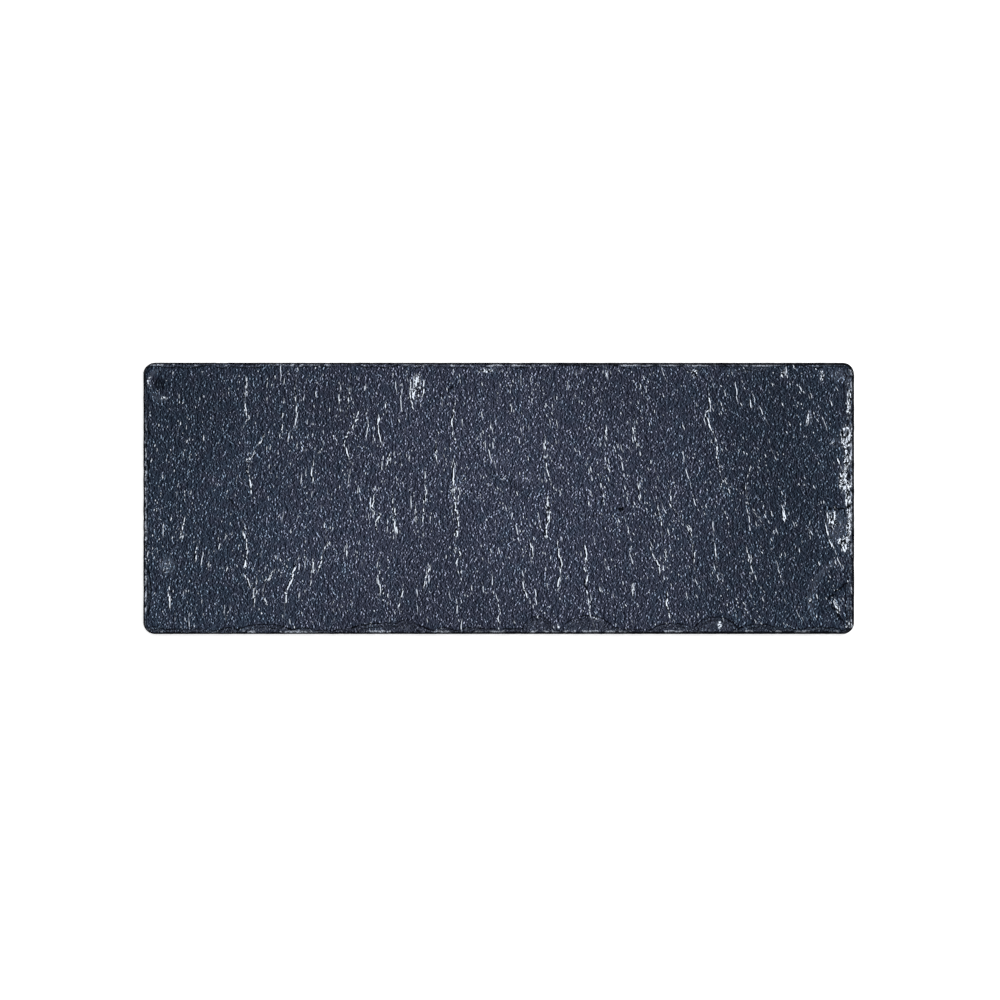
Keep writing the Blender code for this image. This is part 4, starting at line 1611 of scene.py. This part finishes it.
        rough = self.line(self.coarse, -0.22, finish.roughness + 0.11)
        rough = self.line(pale, 0.25, rough, clamp=True)
        height = self.line(self.fine, 0.8, self.times(self.coarse, 1.2))
        height = self.line(pale, 0.25, height)
        height = self.line(dark, -0.25, height)
        height = self.line(self.line(layers, 3.0, -1.5), broken, height)
        bump = self.add("ShaderNodeBump", {"Strength": finish.bump, "Distance": finish.bump_height,
                                           "Height": height})
        self.link(colour, shader.inputs["Base Color"])
        self.link(rough, shader.inputs["Roughness"])
        self.link(bump.outputs[0], shader.inputs["Normal"])
        shader.inputs["Specular IOR Level"].default_value = finish.specular


RIVEN_FACE = SlateFinish(
    "riven_face", True,
    (Rims(7.0, 4.5, 0.42, 0.40, 3.1), Rims(4.6, 7.0, 0.30, 0.22, 9.7)),
    (Dashes(5.0, 6.0, 0.27, 0.03, 0.0), Dashes(2.4, 3.6, 0.25, 0.022, 31.3),
     Dashes(1.5, 2.0, 0.24, 0.036, 57.9)),
)
UNDERSIDE = SlateFinish(
    "riven_underside", False,
    (Rims(7.0, 4.5, 0.42, 0.40, 41.3),),
    (Dashes(5.0, 7.0, 0.28, 0.045, 13.7), Dashes(2.4, 4.0, 0.26, 0.035, 77.1),
     Dashes(1.5, 2.0, 0.24, 0.05, 91.3)),
)


@dataclass(frozen=True)
class FloorFinish:
    """Plain white floor that glows a little, so that the slab casts hardly any shadow."""

    name: str = "pale_floor"
    colour: Colour = (0.93, 0.93, 0.93)
    glow_colour: Colour = (1.0, 1.0, 1.0)
    glow: float = 0.42
    roughness: float = 0.9
    specular: float = 0.2

    def make(self) -> bpy.types.Material:
        """Makes the material.

        Returns:
            The material.
        """
        material = bpy.data.materials.new(self.name)
        material.use_nodes = True
        shader = material.node_tree.nodes["Principled BSDF"]
        shader.inputs["Base Color"].default_value = (*self.colour, 1.0)
        shader.inputs["Roughness"].default_value = self.roughness
        shader.inputs["Specular IOR Level"].default_value = self.specular
        shader.inputs["Emission Color"].default_value = (*self.glow_colour, 1.0)
        shader.inputs["Emission Strength"].default_value = self.glow
        return material


class Lamp(NamedTuple):
    """A round soft light: its name, place and size in metres, and its power in watts."""

    name: str
    place: tuple[float, float, float]
    size: float
    power: float


@dataclass
class Studio:
    """A plain pale floor, soft light, and a camera that looks straight down."""

    floor_size: float = 6.0
    floor_gap: float = 0.2 * MM
    surrounding_colour: Colour = (1.0, 1.0, 1.0)
    surrounding: float = 0.75
    lamps: tuple[Lamp, ...] = (Lamp("key", (1.3, 1.1, 1.6), 0.9, 36.0),
                               Lamp("fill", (-1.6, -0.6, 2.0), 1.6, 6.0))
    slab_pixels: float = 711.0
    image_pixels: float = 1000.0
    slab_middle_pixel: Point = (498.85, 498.35)
    camera_height: float = 2.5
    sensor: float = 36.0

    def build(self, slab: RivenSlab) -> None:
        """Builds the floor, the lights and the camera.

        Args:
            slab: The slab that the camera frames.
        """
        self.build_floor()
        self.build_lights()
        self.build_camera(slab)

    def build_floor(self) -> None:
        """Lays a plain pale floor under the slab."""
        mesh = bmesh.new()
        bmesh.ops.create_grid(mesh, x_segments=1, y_segments=1, size=self.floor_size)
        data = bpy.data.meshes.new("floor")
        mesh.to_mesh(data)
        mesh.free()
        floor = bpy.data.objects.new("floor", data)
        floor.location.z = -self.floor_gap
        bpy.context.scene.collection.objects.link(floor)
        data.materials.append(FloorFinish().make())

    def build_lights(self) -> None:
        """Sets a soft key light above the upper right, a soft fill and an even surrounding."""
        world = bpy.data.worlds.new("surrounding")
        world.use_nodes = True
        background = world.node_tree.nodes["Background"]
        background.inputs["Color"].default_value = (*self.surrounding_colour, 1.0)
        background.inputs["Strength"].default_value = self.surrounding
        bpy.context.scene.world = world
        for lamp in self.lamps:
            light = bpy.data.lights.new(lamp.name, "AREA")
            light.shape = "DISK"
            light.size = lamp.size
            light.energy = lamp.power
            hung = bpy.data.objects.new(lamp.name, light)
            hung.location = lamp.place
            hung.rotation_euler = Vector(lamp.place).to_track_quat("Z", "Y").to_euler()
            bpy.context.scene.collection.objects.link(hung)

    def build_camera(self, slab: RivenSlab) -> None:
        """Hangs the camera over the slab, so that it fills the same pixels as in the photograph.

        Args:
            slab: The slab.
        """
        pixel = slab.length / self.slab_pixels
        off_x = (self.image_pixels / 2 - self.slab_middle_pixel[0]) * pixel
        off_y = (self.slab_middle_pixel[1] - self.image_pixels / 2) * pixel
        camera = bpy.data.cameras.new("camera")
        camera.sensor_width = self.sensor
        far = self.camera_height - slab.thickness / 2
        camera.lens = self.sensor * far / (pixel * self.image_pixels)
        eye = bpy.data.objects.new("camera", camera)
        eye.location = (off_x, off_y, self.camera_height)
        bpy.context.scene.collection.objects.link(eye)
        bpy.context.scene.camera = eye
        bpy.context.scene.view_settings.view_transform = "Standard"


def main() -> None:
    """Builds the slab and the studio."""
    logging.basicConfig(level=logging.INFO, format="%(name)s: %(message)s")
    low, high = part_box(NODE)
    slab = RivenSlab(low, high)
    stone = slab.build()
    groups = StoneGroups()
    for finish in (RIVEN_FACE, UNDERSIDE):
        stone.data.materials.append(finish.make(groups))
    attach(stone, "root")
    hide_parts(NODE)
    log.info("%s: %d faces", stone.name, len(stone.data.polygons))
    Studio().build(slab)
    log.info("studio: floor, two lights and a camera")


if __name__ == "__main__":
    main()
